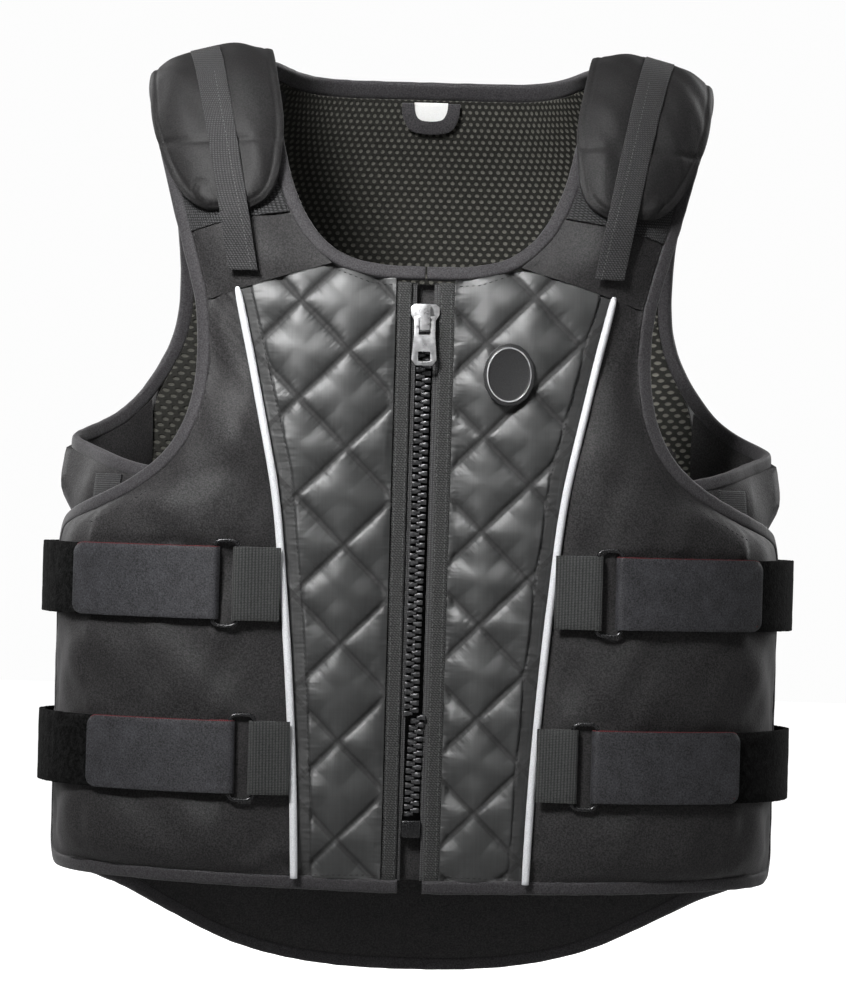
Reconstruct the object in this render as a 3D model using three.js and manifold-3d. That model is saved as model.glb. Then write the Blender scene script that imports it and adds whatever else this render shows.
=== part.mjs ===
// Riding body protector, shown worn: a foam vest with a front zip, shoulder flaps and side straps.
// Millimetres, +Z up, the front faces -Y, +X is the wearer's left. The origin is midway between
// the shoulder straps, level with the inner face of their tops.
// Each soft piece is drawn flat on a pattern of two lengths, u round the body from the middle and
// v down from the shoulder line, and is then wrapped round the form of the wearer's body.
import * as THREE from 'three';
import { mergeVertices } from 'three/addons/utils/BufferGeometryUtils.js';
import Module from 'manifold-3d';

const wasm = await Module();
wasm.setup();

// The wearer's form, to the inner face of the vest
const bodyHalfWidth = 226;
const frontDepth = 102;
const backDepth = 102;
const chestDrop = 230;
const napeDepth = 58;
const napeHalfWidth = 66;
const shoulderFall = 20;
const sectionPower = 2.4;
const chestCurve = 2.2;
const hemTuck = 0.05;

// Walls
const foamThickness = 20;
const strapThickness = 14;
const wingThickness = 12;
const edgeThickness = 5;
const taperWidth = 24;
const strapFoamRun = 90;
const foamGrowRun = 110;
const liftWay = 95;
const liftAhead = 5;
const liningThickness = 1.5;
const seamDip = 4;
const seamDipWidth = 9;
const clearance = 0.3;
const layerSlack = 0.5;
const seamGap = 0.8;

// Quilting: sewn lines at 45 degrees, the foam swells between them
const quiltPitch = 65;
const quiltSwell = 3;
const quiltFade = 14;
const crossingAcross = 47;
const crossingDrop = 194;

// Outline
const neckHalfWidth = 119;
const frontNeckDrop = 142;
const backNeckDrop = 3;
const strapWidth = 77;
const frontChestHalf = 154;
const frontChestDrop = 196;
const armholeDrop = 334;
const backChestHalf = 176;
const backChestDrop = 155;
const wingTopDrop = 262;
const wingFrontDrop = 284;
const wingFrontAcross = 158;
const wingSeamAcross = 203;
const wingFlare = 16;
const flareRise = 24;
const flareAhead = 20;
const flareBehind = 52;
const frontLength = 567;
const sideLength = 561;
const tailLength = 640;
const cornerRadius = 24;
const sideEdgeBack = 6;
const armTurnDrop = 14;
const armTurnIn = 4;
const wingBlend = 20;
const neckSeamDrop = 134;
const armSeamDrop = 168;

// Edge binding
const bindingWidth = 7.5;
const bindingThickness = 6;
const bindingRound = 0.6;

// Zip, plackets and piping
const teethWidth = 10.7;
const teethThickness = 6;
const teethPitch = 6.6;
const toothReach = 1.5;
const zipLevel = 7.6;
const tapeThickness = 1.2;
const placketStart = 9.4;
const placketWidth = 10.4;
const placketThickness = 2.4;
const guardThickness = 1.4;
const guardLeft = 24;
const guardRight = 33;
const sliderDrop = 176;
const sliderLength = 19;
const sliderWidth = 19.4;
const sliderPlate = 1.6;
const bridgeWidth = 6.8;
const bridgeHeight = 5.7;
const pullLength = 34;
const pullTopWidth = 14.4;
const pullEndWidth = 17.2;
const pullThickness = 2;
const pullTaper = 5;
const pullChamfer = 3;
const windowWidth = 8.2;
const windowLength = 6.5;
const windowUp = 4;
const sliderPlay = 0.8;
const flangePlay = 0.5;
const flangeThickness = 0.9;
const zipEndGap = 2;
const boxDrop = 524;
const boxWidth = 13;
const boxHeight = 12;
const boxThickness = 7;
const pipingRadius = 2.2;

// Shoulders
const flapFrontReach = 108;
const flapBackReach = 74;
const flapOverhang = 4;
const flapEdgeThickness = 2.6;
const flapPadThickness = 8;
const patchThickness = 1.2;
const stripWidth = 20;
const stripThickness = 1.5;
const stripTopAcross = 160;
const stripEndAcross = 125;
const patchStartDrop = 4;
const patchEndDrop = 116;
const stripTopDrop = 1.5;
const stripEndGap = 6;

// Side straps
const webbingWidth = 50;
const webbingThickness = 1.6;
const upperStrapDrop = 359;
const lowerStrapDrop = 477;
const upperRingAcross = 128;
const lowerRingAcross = 115;
const ringWire = 3.8;
const ringWidth = 19;
const ringHeight = 62;
const ringCorner = 4.5;
const webbingUnder = 12;
const hookTabLength = 88;
const hookTabUnder = 13;
const tapeSettle = 24;
const plushThickness = 4;
const plushEndAcross = 150;
const plushSettle = 76;
const wingStripWidth = 24;
const wingStripAcross = 218;
const wingStripShort = 12;

// Badge and neck trim
const badgeWidth = 34;
const badgeHeight = 42;
const badgeThickness = 2.4;
const badgeAcross = 58;
const badgeDrop = 213;
const hangLoopWidth = 42;
const hangLoopDrop = 20.5;
const hangLoopTape = 9;
const labelWidth = 24;
const labelHeight = 12;
const labelThickness = 0.8;

const strapOuter = neckHalfWidth + strapWidth;
const wingLift = wingThickness + stripThickness + 3 * clearance;
const outerHalf = bodyHalfWidth + wingLift + foamThickness;

const finish = (color, roughness, metalness = 0) =>
  new THREE.MeshStandardMaterial({ color, roughness, metalness });
const finishes = {
  shell: () => finish('#2b2a2c', 0.8),
  satin: () => finish('#4a4b4d', 0.35),
  trim: () => finish('#3f3d40', 0.7),
  webbing: () => finish('#333235', 0.75),
  plush: () => finish('#151416', 0.95),
  suede: () => finish('#3a393c', 0.9),
  mesh: () => finish('#26261f', 0.8),
  piping: () => finish('#d9dadc', 0.4),
  gunmetal: () => finish('#4d4e50', 0.35, 0.8),
  silver: () => finish('#b9babc', 0.3, 0.9),
  plastic: () => finish('#1a1a1b', 0.35),
  rubber: () => finish('#232325', 0.6),
  label: () => finish('#ececea', 0.7),
};

// Form

const smooth = (value) => {
  const share = Math.min(Math.max(value, 0), 1);
  return share * share * (3 - 2 * share);
};

// How far the chest has come out at a drop below the shoulder line, as a share
function chestShare(drop) {
  const above = 1 - Math.min(Math.max(drop, 0) / chestDrop, 1);
  return Math.sqrt(1 - above ** chestCurve);
}

function tuck(drop) {
  const share = Math.max(drop - chestDrop, 0) / (tailLength - chestDrop);
  return 1 - hemTuck * share * share;
}

// Half depth of the form: the nape stands further back than the shoulder line
function formDepth(half, x, drop) {
  const share = chestShare(drop);
  if (half === 'front') {
    return frontDepth * share * tuck(drop);
  }
  const nape = smooth((neckHalfWidth - x) / (neckHalfWidth - napeHalfWidth));
  const start = napeDepth * nape;
  return Math.sqrt(start ** 2 + (backDepth ** 2 - start ** 2) * share ** 2) * tuck(drop);
}

// A point of a level section, from 0 at the middle to a right angle at the side
function sectionPoint(half, angle, drop) {
  const x = bodyHalfWidth * Math.max(Math.sin(angle), 0) ** (2 / sectionPower);
  const reach = Math.max(Math.cos(angle), 0) ** (2 / sectionPower);
  const facing = half === 'front' ? -1 : 1;
  return new THREE.Vector2(x, facing * formDepth(half, x, drop) * reach);
}

// Running length round one quarter of a level section
const quarterSteps = 48;
const quarterAngles = Array.from({ length: quarterSteps + 1 }, (_, i) => {
  const share = (i / quarterSteps) ** (sectionPower / 2);
  const rest = (1 - i / quarterSteps) ** (sectionPower / 2);
  return (Math.PI / 2) * (share / (share + rest));
});
const quarterCache = new Map();
function quarterLengths(half, drop) {
  const key = half + drop.toFixed(3);
  if (!quarterCache.has(key)) {
    const lengths = [0];
    let last = sectionPoint(half, 0, drop);
    for (let i = 1; i <= quarterSteps; i++) {
      const next = sectionPoint(half, quarterAngles[i], drop);
      lengths.push(lengths[i - 1] + next.distanceTo(last));
      last = next;
    }
    quarterCache.set(key, lengths);
  }
  return quarterCache.get(key);
}

const quarter = (half, drop) => quarterLengths(half, drop)[quarterSteps];

function interpolate(value, from, to) {
  let low = 0;
  let high = from.length - 1;
  while (high - low > 1) {
    const middle = (low + high) >> 1;
    if (from[middle] <= value) {
      low = middle;
    } else {
      high = middle;
    }
  }
  const share = (value - from[low]) / (from[high] - from[low]);
  return to[low] + share * (to[high] - to[low]);
}

// Drop below the shoulder line against the length run down the front from that line
const runs = [0];
const drops = [0];
for (let i = 1; i <= 600; i++) {
  const drop = 1.2 * tailLength * (i / 600) ** 2;
  const out = formDepth('front', 0, drop) - formDepth('front', 0, drops[i - 1]);
  runs.push(runs[i - 1] + Math.hypot(out, drop - drops[i - 1]));
  drops.push(drop);
}
const dropAt = (v) => interpolate(v, runs, drops);
const runAt = (drop) => interpolate(drop, drops, runs);

const otherHalf = { front: 'back', back: 'front' };

// Point on the inner face of the vest. Past the side seam, or over the shoulder line where v is
// negative, it runs on round the other half.
function formPoint(half, u, v) {
  if (u < 0) {
    const mirrored = formPoint(half, -u, v);
    mirrored.x = -mirrored.x;
    return mirrored;
  }
  if (v < 0) {
    const beyond = dropAt(-v);
    const other = otherHalf[half];
    return formPoint(other, u + quarter(other, beyond) - quarter(half, beyond), -v);
  }
  const drop = dropAt(v);
  const round = quarter(half, drop);
  if (u > round) {
    return formPoint(otherHalf[half], quarter(otherHalf[half], drop) - (u - round), v);
  }
  const angle = interpolate(u, quarterLengths(half, drop), quarterAngles);
  const flat = sectionPoint(half, angle, drop);
  const fall = Math.max(flat.x - neckHalfWidth, 0) * (shoulderFall / strapWidth);
  const fade = 1 - smooth(v / frontNeckDrop);
  return new THREE.Vector3(flat.x, flat.y, -drop - fall * fade);
}

// Outward direction of the form at a pattern point
function formNormal(half, u, v) {
  const step = 0.6;
  const round = formPoint(half, u + step, v).sub(formPoint(half, u - step, v));
  const down = formPoint(half, u, v + step).sub(formPoint(half, u, v - step));
  const normal = round.cross(down).normalize();
  return half === 'front' ? normal.negate() : normal;
}

const wrap = (half, u, v, off) => formPoint(half, u, v).addScaledVector(formNormal(half, u, v), off);

// Pattern point that lies a distance across from the middle, on a layer that far off the form
function across(half, x, drop, off = foamThickness / 2) {
  const v = runAt(drop);
  let low = 0;
  let high = quarter(half, drop);
  for (let i = 0; i < 24; i++) {
    const middle = (low + high) / 2;
    if (wrap(half, middle, v, off).x < x) {
      low = middle;
    } else {
      high = middle;
    }
  }
  return new THREE.Vector2((low + high) / 2, v);
}

// Pattern lines

const lerp = (a, b, share) => a + (b - a) * share;

function runLengths(points) {
  const lengths = [0];
  for (let i = 1; i < points.length; i++) {
    lengths.push(lengths[i - 1] + points[i].distanceTo(points[i - 1]));
  }
  return lengths;
}

function sharesOf(points) {
  const lengths = runLengths(points);
  return lengths.map((run) => run / lengths[lengths.length - 1]);
}

function pointAlong(points, lengths, run) {
  const at = interpolate(run, lengths, points.map((_, i) => i));
  const first = Math.min(Math.floor(at), points.length - 2);
  return points[first].clone().lerp(points[first + 1], at - first);
}

// The same line with points at the given shares of its length
function resample(points, shares) {
  const lengths = runLengths(points);
  return shares.map((share) => pointAlong(points, lengths, share * lengths[lengths.length - 1]));
}

const even = (count) => Array.from({ length: count + 1 }, (_, i) => i / count);
const curve = (points, count = 80) => new THREE.SplineCurve(points).getPoints(count);

// The two lines that a line falls into at a run down from the shoulder
function cutAtRun(points, v) {
  const hit = points.findIndex((p, i) => i > 0 && (points[i - 1].y - v) * (p.y - v) <= 0);
  const share = (v - points[hit - 1].y) / (points[hit].y - points[hit - 1].y);
  const cut = points[hit - 1].clone().lerp(points[hit], share);
  return [[...points.slice(0, hit), cut], [cut.clone(), ...points.slice(hit)]];
}

// A line moved sideways on the body by a true length; inward is to the right of its direction
// when turn is 1. The lengths on the pattern are stretched to those on the body. An end on the
// shoulder line or on the middle line stays on it.
function inset(half, points, distance, turn) {
  return points.map((point, i) => {
    const before = points[Math.max(i - 1, 0)];
    const after = points[Math.min(i + 1, points.length - 1)];
    const along = after.clone().sub(before).normalize();
    const side = new THREE.Vector2(-along.y * turn, along.x * turn);
    const here = formPoint(half, point.x, point.y);
    const there = formPoint(half, point.x + side.x, point.y + side.y);
    const stretch = Math.max(there.distanceTo(here), 0.35);
    const moved = point.clone().addScaledVector(side, distance / stretch);
    if (point.y === 0) {
      moved.y = 0;
    }
    if (Math.abs(point.x) < 0.01) {
      moved.x = 0;
    }
    return moved;
  });
}

// Pattern points of a four-sided patch: grid[row][column], filled in evenly from its four edges
function patch(bottom, top, left, right, columnShares, rowShares) {
  return rowShares.map((t, row) =>
    columnShares.map((s, column) => {
      const point = new THREE.Vector2();
      point.addScaledVector(bottom[column], 1 - t).addScaledVector(top[column], t);
      point.addScaledVector(left[row], 1 - s).addScaledVector(right[row], s);
      point.addScaledVector(bottom[0], -(1 - s) * (1 - t));
      point.addScaledVector(bottom[bottom.length - 1], -s * (1 - t));
      point.addScaledVector(top[0], -(1 - s) * t);
      point.addScaledVector(top[top.length - 1], -s * t);
      return point;
    }),
  );
}

function distanceTo(point, line) {
  const segment = new THREE.Line3();
  const start = new THREE.Vector3();
  const end = new THREE.Vector3();
  const spot = new THREE.Vector3(point.x, point.y, 0);
  const nearest = new THREE.Vector3();
  let least = Infinity;
  for (let i = 1; i < line.length; i++) {
    start.set(line[i - 1].x, line[i - 1].y, 0);
    end.set(line[i].x, line[i].y, 0);
    segment.set(start, end).closestPointToPoint(spot, true, nearest);
    least = Math.min(least, nearest.distanceTo(spot));
  }
  return least;
}

// Walls of the padded pieces

// Foam thickness at a run down from the shoulder line
const foamAt = (v) =>
  lerp(strapThickness, foamThickness, smooth((Math.abs(v) - strapFoamRun) / foamGrowRun));

// Lift of the front panel over the wing beneath it
const liftFull = across('front', wingFrontAcross, wingFrontDrop).x - liftAhead;
const liftDrop = wingFrontDrop - frontChestDrop - 2 * liftAhead;
function liftAt(u, v) {
  const side = smooth((u - liftFull + liftWay) / liftWay);
  return wingLift * side * smooth((dropAt(v) - frontChestDrop) / liftDrop);
}

// Inner and outer face of a padded piece at a pattern point: thin at its bound edges and dipped
// along its seams
function wallAt(point, thickness, boundEdges, seams) {
  const free = Math.min(...boundEdges.map((edge) => distanceTo(point, edge)), taperWidth);
  const swell = Math.sin((free / taperWidth) * (Math.PI / 2));
  const halfWall = lerp(edgeThickness / 2, thickness / 2, swell);
  const near = Math.min(...seams.map((seam) => distanceTo(point, seam)), seamDipWidth);
  const dip = Math.min(seamDip * (1 - near / seamDipWidth), 2 * halfWall - edgeThickness);
  return { inner: thickness / 2 - halfWall, outer: thickness / 2 + halfWall - dip };
}

// Solids

// A closed mesh from a three.js geometry whose corners have been moved, faces outward
function closed(geometry) {
  geometry.deleteAttribute('normal');
  geometry.deleteAttribute('uv');
  const body = mergeVertices(geometry, 1e-4);
  const spot = (i) => new THREE.Vector3().fromBufferAttribute(body.attributes.position, i);
  const faces = body.index.array;
  let volume = 0;
  for (let i = 0; i < faces.length; i += 3) {
    volume += spot(faces[i]).dot(spot(faces[i + 1]).cross(spot(faces[i + 2])));
  }
  if (volume < 0) {
    for (let i = 0; i < faces.length; i += 3) {
      [faces[i], faces[i + 1]] = [faces[i + 1], faces[i]];
    }
  }
  body.computeVertexNormals();
  return body;
}

function reshape(geometry, move) {
  const spots = geometry.attributes.position;
  const spot = new THREE.Vector3();
  for (let i = 0; i < spots.count; i++) {
    spot.fromBufferAttribute(spots, i);
    const moved = move(spot);
    spots.setXYZ(i, moved.x, moved.y, moved.z);
  }
  return closed(geometry);
}

// Slab on a grid: place(column, row, level) gives each corner, level 0 within and 1 without
const slab = (columns, rows, place) =>
  reshape(new THREE.BoxGeometry(1, 1, 1, columns, rows, 1), (spot) =>
    place(
      Math.round((spot.x + 0.5) * columns),
      Math.round((spot.y + 0.5) * rows),
      Math.round(spot.z + 0.5),
    ),
  );

// Rod along rows: place(sideways, upward, row) with the section's directions from -1 to 1
const rod = (sides, rows, place) =>
  reshape(new THREE.CylinderGeometry(1, 1, 1, sides, rows), (spot) =>
    place(spot.x, spot.z, Math.round((spot.y + 0.5) * rows)),
  );

// A wall on a grid of pattern points. Turned, its faces are split the other way, as those of the
// layer that it lies on.
const layer = (half, grid, levels, turned = false) =>
  slab(grid[0].length - 1, grid.length - 1, (column, row, level) => {
    const point = grid[row][column];
    return wrap(half, point.x, point.y, levels(point)[turned ? 1 - level : level]);
  });

// Binding round an edge: a flat bar, thinner at its rim, between the outline and that line set in
function bind(half, outline, turn, middle) {
  const inner = inset(half, outline, bindingWidth, turn);
  return slab(1, outline.length - 1, (column, row, level) => {
    const point = column ? inner[row] : outline[row];
    const thickness = column ? bindingThickness : bindingThickness * bindingRound;
    return wrap(half, point.x, point.y, middle(point) + (level - 0.5) * thickness);
  });
}

const toSolid = (geometry) => {
  const body = closed(geometry);
  return new wasm.Manifold(
    new wasm.Mesh({
      numProp: 3,
      vertProperties: new Float32Array(body.attributes.position.array),
      triVerts: new Uint32Array(body.index.array),
    }),
  );
};

function fromSolid(solid) {
  const mesh = solid.getMesh();
  const body = new THREE.BufferGeometry();
  body.setAttribute('position', new THREE.BufferAttribute(mesh.vertProperties, 3));
  body.setIndex(new THREE.BufferAttribute(mesh.triVerts, 1));
  body.computeVertexNormals();
  return body;
}

const vest = new THREE.Group();

function add(name, geometry, material, parent = vest) {
  const mesh = new THREE.Mesh(geometry, material);
  mesh.name = name;
  parent.add(mesh);
  return mesh;
}

// Adds the piece on the wearer's left and its mirror image on the right
function addPair(name, geometry, material) {
  add(`${name}_left`, geometry, material());
  const mirrored = geometry.clone().applyMatrix4(new THREE.Matrix4().makeScale(-1, 1, 1));
  const index = mirrored.index.array;
  for (let i = 0; i < index.length; i += 3) {
    [index[i], index[i + 1]] = [index[i + 1], index[i]];
  }
  mirrored.computeVertexNormals();
  add(`${name}_right`, mirrored, material());
}

// Front outline

// Inner edge of the strap and front neckline: across as a share of the neck's half width, down as
// a share of the neckline's drop
const neckTable = [
  { across: 1, down: 0 },
  { across: 0.92, down: 0.18 },
  { across: 0.87, down: 0.345 },
  { across: 0.83, down: 0.51 },
  { across: 0.785, down: 0.63 },
  { across: 0.69, down: 0.795 },
  { across: 0.56, down: 0.92 },
  { across: 0.36, down: 0.985 },
  { across: 0.2, down: 1 },
];

// Armhole above the narrowest chest: inward as a share of the way in from the strap's end
const upperArmTable = [
  { inward: 0, down: 0 },
  { inward: 0.12, down: 0.21 },
  { inward: 0.44, down: 0.49 },
  { inward: 0.74, down: 0.7 },
  { inward: 0.95, down: 0.86 },
  { inward: 1, down: 1 },
];

// Armhole below it: outward as a share of the way to the vest's side
const lowerArmTable = [
  { outward: 0.035, down: 0.29 },
  { outward: 0.12, down: 0.49 },
  { outward: 0.25, down: 0.61 },
  { outward: 0.51, down: 0.735 },
  { outward: 0.76, down: 0.83 },
];

// Piping between the quilted and the plain panel: across as a share of the vest's half width
const pipingTable = [
  { across: 0.382, down: 0.494 },
  { across: 0.346, down: 0.635 },
  { across: 0.323, down: 0.76 },
  { across: 0.307, down: 0.884 },
];
const pipingEndAcross = 0.3;

const placketEnd = placketStart + placketWidth;
const panelStart = placketEnd + clearance;
const edgeOff = (u, v) => liftAt(u, v) + foamAt(v) / 2;

const neckOutline = curve([
  ...neckTable.map((row) => across('front', row.across * neckHalfWidth, row.down * frontNeckDrop)),
  new THREE.Vector2(placketStart, runAt(frontNeckDrop)),
]);

const sideEdge = (drop) =>
  new THREE.Vector2(quarter('front', drop) - sideEdgeBack, runAt(drop));
const narrowIn = strapOuter - frontChestHalf;
const armOutline = curve([
  ...upperArmTable.map((row) =>
    across('front', strapOuter - row.inward * narrowIn, row.down * frontChestDrop),
  ),
  ...lowerArmTable.map((row) =>
    across(
      'front',
      frontChestHalf + row.outward * (outerHalf - frontChestHalf),
      lerp(frontChestDrop, armholeDrop, row.down),
      foamThickness,
    ),
  ),
  sideEdge(armholeDrop - armTurnDrop).sub(new THREE.Vector2(armTurnIn, 0)),
  sideEdge(armholeDrop),
]);

// Side edge and rounded lower corner, from the armhole down
const cornerCentre = sideEdge(sideLength - cornerRadius).sub(new THREE.Vector2(cornerRadius, 0));
const cornerPoints = [0.25, 0.5, 0.75].map((share) => {
  const angle = share * (Math.PI / 2);
  return cornerCentre
    .clone()
    .add(new THREE.Vector2(Math.cos(angle), Math.sin(angle)).multiplyScalar(cornerRadius));
});
const sideOutline = [sideEdge(armholeDrop), sideEdge(sideLength - cornerRadius)];

// Hem from the zip out to the corner
const hemPoint = (x) => {
  const rise = smooth(x / outerHalf) * (frontLength - sideLength);
  return across('front', x, frontLength - rise, 2 * edgeThickness);
};
const hemEnd = new THREE.Vector2(cornerCentre.x, runAt(sideLength));

// Samples of the outline that the panels and the bindings share
const neckCut = cutAtRun(neckOutline, runAt(neckSeamDrop));
const armCut = cutAtRun(armOutline, runAt(armSeamDrop));
const yokeRows = even(9);
const yokeNeck = resample(neckCut[0], yokeRows);
const neckToZip = neckCut[1].filter((p) => p.x > panelStart + 1);
const quiltNeck = resample(
  [...neckToZip, new THREE.Vector2(panelStart, runAt(frontNeckDrop))],
  [0, 0.4, 0.8, 1],
);
const yokeArm = resample(armCut[0], yokeRows);
const panelArm = resample(armCut[1], even(9));
const panelSide = resample(sideOutline, even(5));
const pipingFoot = hemPoint(pipingEndAcross * outerHalf);
const plainShares = [0, 0.09, 0.24, 0.4, 0.56, 0.72, 0.88, 1];
const plainHem = resample(
  [pipingFoot, hemPoint(0.45 * outerHalf), hemPoint(0.6 * outerHalf), hemEnd],
  plainShares,
);
const quiltShares = [0, 0.1, 0.28, 0.46, 0.64, 0.82, 0.92, 1];
const quiltHem = resample([across('front', panelStart, frontLength), pipingFoot], quiltShares);

const setIn = bindingWidth + clearance;
const armSide = [
  ...yokeArm,
  ...panelArm.slice(1),
  ...panelSide.slice(1),
  ...cornerPoints,
  ...[...plainHem].reverse(),
];
const armSideInner = inset('front', armSide, setIn, 1);
const neckLine = [...yokeNeck, ...quiltNeck.slice(1)];
const neckInner = inset('front', neckLine, setIn, -1);

// Index of the shared points in the long outline
const armSeamAt = yokeArm.length - 1;
const cornerEndAt = armSide.length - plainHem.length;
const yokeNeckInner = neckInner.slice(0, yokeNeck.length);
const quiltNeckInner = neckInner.slice(yokeNeck.length - 1).reverse();
const yokeArmInner = armSideInner.slice(0, armSeamAt + 1);
const panelSideInner = armSideInner.slice(armSeamAt, cornerEndAt + 1).reverse();
const plainHemInner = armSideInner.slice(cornerEndAt).reverse();
const quiltHemInner = inset('front', quiltHem, setIn, -1);
quiltHemInner[0].x = panelStart;
quiltNeckInner[0].x = panelStart;

// Seams inside the front
const seamHeadShare = 0.74;
const yokeSeam = [yokeNeckInner[yokeNeckInner.length - 1], yokeArmInner[armSeamAt]];
const pipingHead = yokeSeam[0].clone().lerp(yokeSeam[1], seamHeadShare);
const pipingLine = curve([
  quiltHemInner[quiltHemInner.length - 1],
  ...[...pipingTable]
    .reverse()
    .map((row) => across('front', row.across * outerHalf, row.down * frontLength)),
  pipingHead,
]);

// Draws a patch's edge back towards the next line of its points, to leave room at a seam
const drawBack = (edge, next, gap) =>
  edge.forEach((point, i) => point.lerp(next[i], gap / point.distanceTo(next[i])));
const columnOf = (grid, column) => grid.map((row) => row.at(column));
const boundEdges = [neckInner, armSideInner, quiltHemInner];
const seams = [yokeSeam, pipingLine];
const frontWall = (point) => {
  const lift = liftAt(point.x, point.y);
  const wall = wallAt(point, foamAt(point.y), boundEdges, seams);
  return [lift + wall.inner, lift + wall.outer];
};

// Swell of the quilting between its sewn lines
function quiltAt(point) {
  const out = point.x - crossingAcross;
  const down = dropAt(point.y) - crossingDrop;
  const one = Math.abs(Math.sin(((out + down) / quiltPitch) * Math.PI));
  const other = Math.abs(Math.sin(((out - down) / quiltPitch) * Math.PI));
  return quiltSwell * Math.min(one, other);
}

// Quilted panel
const quiltRows = even(23);
const zipEdge = resample([quiltHemInner[0], quiltNeckInner[0]], quiltRows);
const seamToHead = [quiltNeckInner[quiltNeckInner.length - 1], pipingHead];
const quiltTop = [...quiltNeckInner, ...resample(seamToHead, [0.3, 0.6, 0.85, 1])];
const quiltGrid = patch(
  quiltHemInner,
  quiltTop,
  zipEdge,
  resample(pipingLine, quiltRows),
  quiltShares,
  quiltRows,
);
drawBack(columnOf(quiltGrid, -1), columnOf(quiltGrid, -2), seamGap / 2);
const neckColumns = quiltNeckInner.length - 1;
drawBack(quiltGrid.at(-1).slice(neckColumns), quiltGrid.at(-2).slice(neckColumns), seamGap / 2);
const zipSide = [zipEdge];
const quiltEdges = [...boundEdges, ...zipSide];
const quiltWall = (point) => {
  const lift = liftAt(point.x, point.y);
  const wall = wallAt(point, foamAt(point.y), quiltEdges, seams);
  const free = Math.min(...[...quiltEdges, ...seams].map((line) => distanceTo(point, line)));
  const fade = smooth(free / quiltFade);
  return [lift + wall.inner, lift + wall.outer + (quiltAt(point) - quiltSwell / 2) * fade];
};
addPair('quilted_panel', layer('front', quiltGrid, quiltWall), finishes.satin);

// Plain front panel
const plainTop = resample([pipingHead, yokeSeam[1]], plainShares);
const panelSideShares = sharesOf(panelSideInner);
const plainGrid = patch(
  plainHemInner,
  plainTop,
  resample(pipingLine, panelSideShares),
  panelSideInner,
  plainShares,
  panelSideShares,
);
drawBack(columnOf(plainGrid, 0), columnOf(plainGrid, 1), seamGap / 2);
drawBack(plainGrid.at(-1), plainGrid.at(-2), seamGap / 2);
addPair('front_panel', layer('front', plainGrid, frontWall), finishes.shell);

// Yoke, from its seam up to the shoulder line
const yokeShares = [0, 0.12, 0.3, 0.5, 0.7, 0.88, 1];
const ridge = resample([yokeNeckInner[0], yokeArmInner[0]], yokeShares);
const yokeGrid = patch(
  resample(yokeSeam, yokeShares),
  ridge,
  [...yokeNeckInner].reverse(),
  [...yokeArmInner].reverse(),
  yokeShares,
  yokeRows,
);
drawBack(yokeGrid[0], yokeGrid[1], seamGap / 2);
drawBack(yokeGrid.at(-1), yokeGrid.at(-2), clearance);
addPair('yoke', layer('front', yokeGrid, frontWall), finishes.shell);

// Front bindings
const edgeMiddle = (point) => edgeOff(point.x, point.y);
const neckRun = [...neckLine, new THREE.Vector2(placketStart, runAt(frontNeckDrop))];
addPair('neck_binding', bind('front', neckRun, -1, edgeMiddle), finishes.trim);
const frontRun = [
  ...armSide,
  ...[...quiltHem].reverse().slice(1),
  across('front', placketStart, frontLength),
];
addPair('front_binding', bind('front', frontRun, 1, edgeMiddle), finishes.trim);

// Piping cord in the seam
const pipingCore = resample(pipingLine, even(22));
const pipingLevel = pipingRadius + layerSlack - seamDip;
const pipingSeat = (point) => liftAt(point.x, point.y) + foamAt(point.y) + pipingLevel;
addPair(
  'piping',
  rod(4, 22, (sideways, upward, row) => {
    const point = pipingCore[row];
    const off = pipingSeat(point) + upward * pipingRadius;
    return wrap('front', point.x + sideways * pipingRadius, point.y, off);
  }),
  finishes.piping,
);

// Zip

const zipTop = runAt(frontNeckDrop) + setIn + zipEndGap;
const zipEnd = runAt(frontLength) - setIn;
const sliderRun = runAt(sliderDrop);

// Strip along the front edge between two distances from the middle, and two layers off the form
function frontStrip(from, to, start, end, inner, outer, steps = 16) {
  return slab(1, steps, (column, row, level) => {
    const v = lerp(start, end, row / steps);
    return wrap('front', column ? to : from, v, level ? outer : inner);
  });
}

const tapeInner = zipLevel - tapeThickness / 2;
const tapeOuter = zipLevel + tapeThickness / 2;
const tapeStart = teethWidth / 2 + clearance;
const boxRun = runAt(boxDrop);
const tapeNotch = boxRun - boxHeight / 2 - zipEndGap;
const tapeRuns = [
  ...even(12).map((share) => lerp(zipTop, tapeNotch, share)),
  ...even(2).map((share) => lerp(tapeNotch + zipEndGap / 2, zipEnd, share)),
];
addPair(
  'zip_tape',
  slab(1, tapeRuns.length - 1, (column, row, level) => {
    const v = tapeRuns[row];
    const start = v > tapeNotch ? boxWidth / 2 + clearance : tapeStart;
    return wrap('front', column ? placketEnd - clearance : start, v, level ? tapeOuter : tapeInner);
  }),
  finishes.webbing,
);
const placketInner = tapeOuter + clearance;
addPair(
  'placket',
  frontStrip(placketStart, placketEnd, zipTop, zipEnd, placketInner, placketInner + placketThickness),
  finishes.trim,
);
add(
  'zip_guard',
  frontStrip(-guardRight, guardLeft, zipTop, zipEnd, 0, guardThickness),
  finishes.shell(),
);

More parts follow.
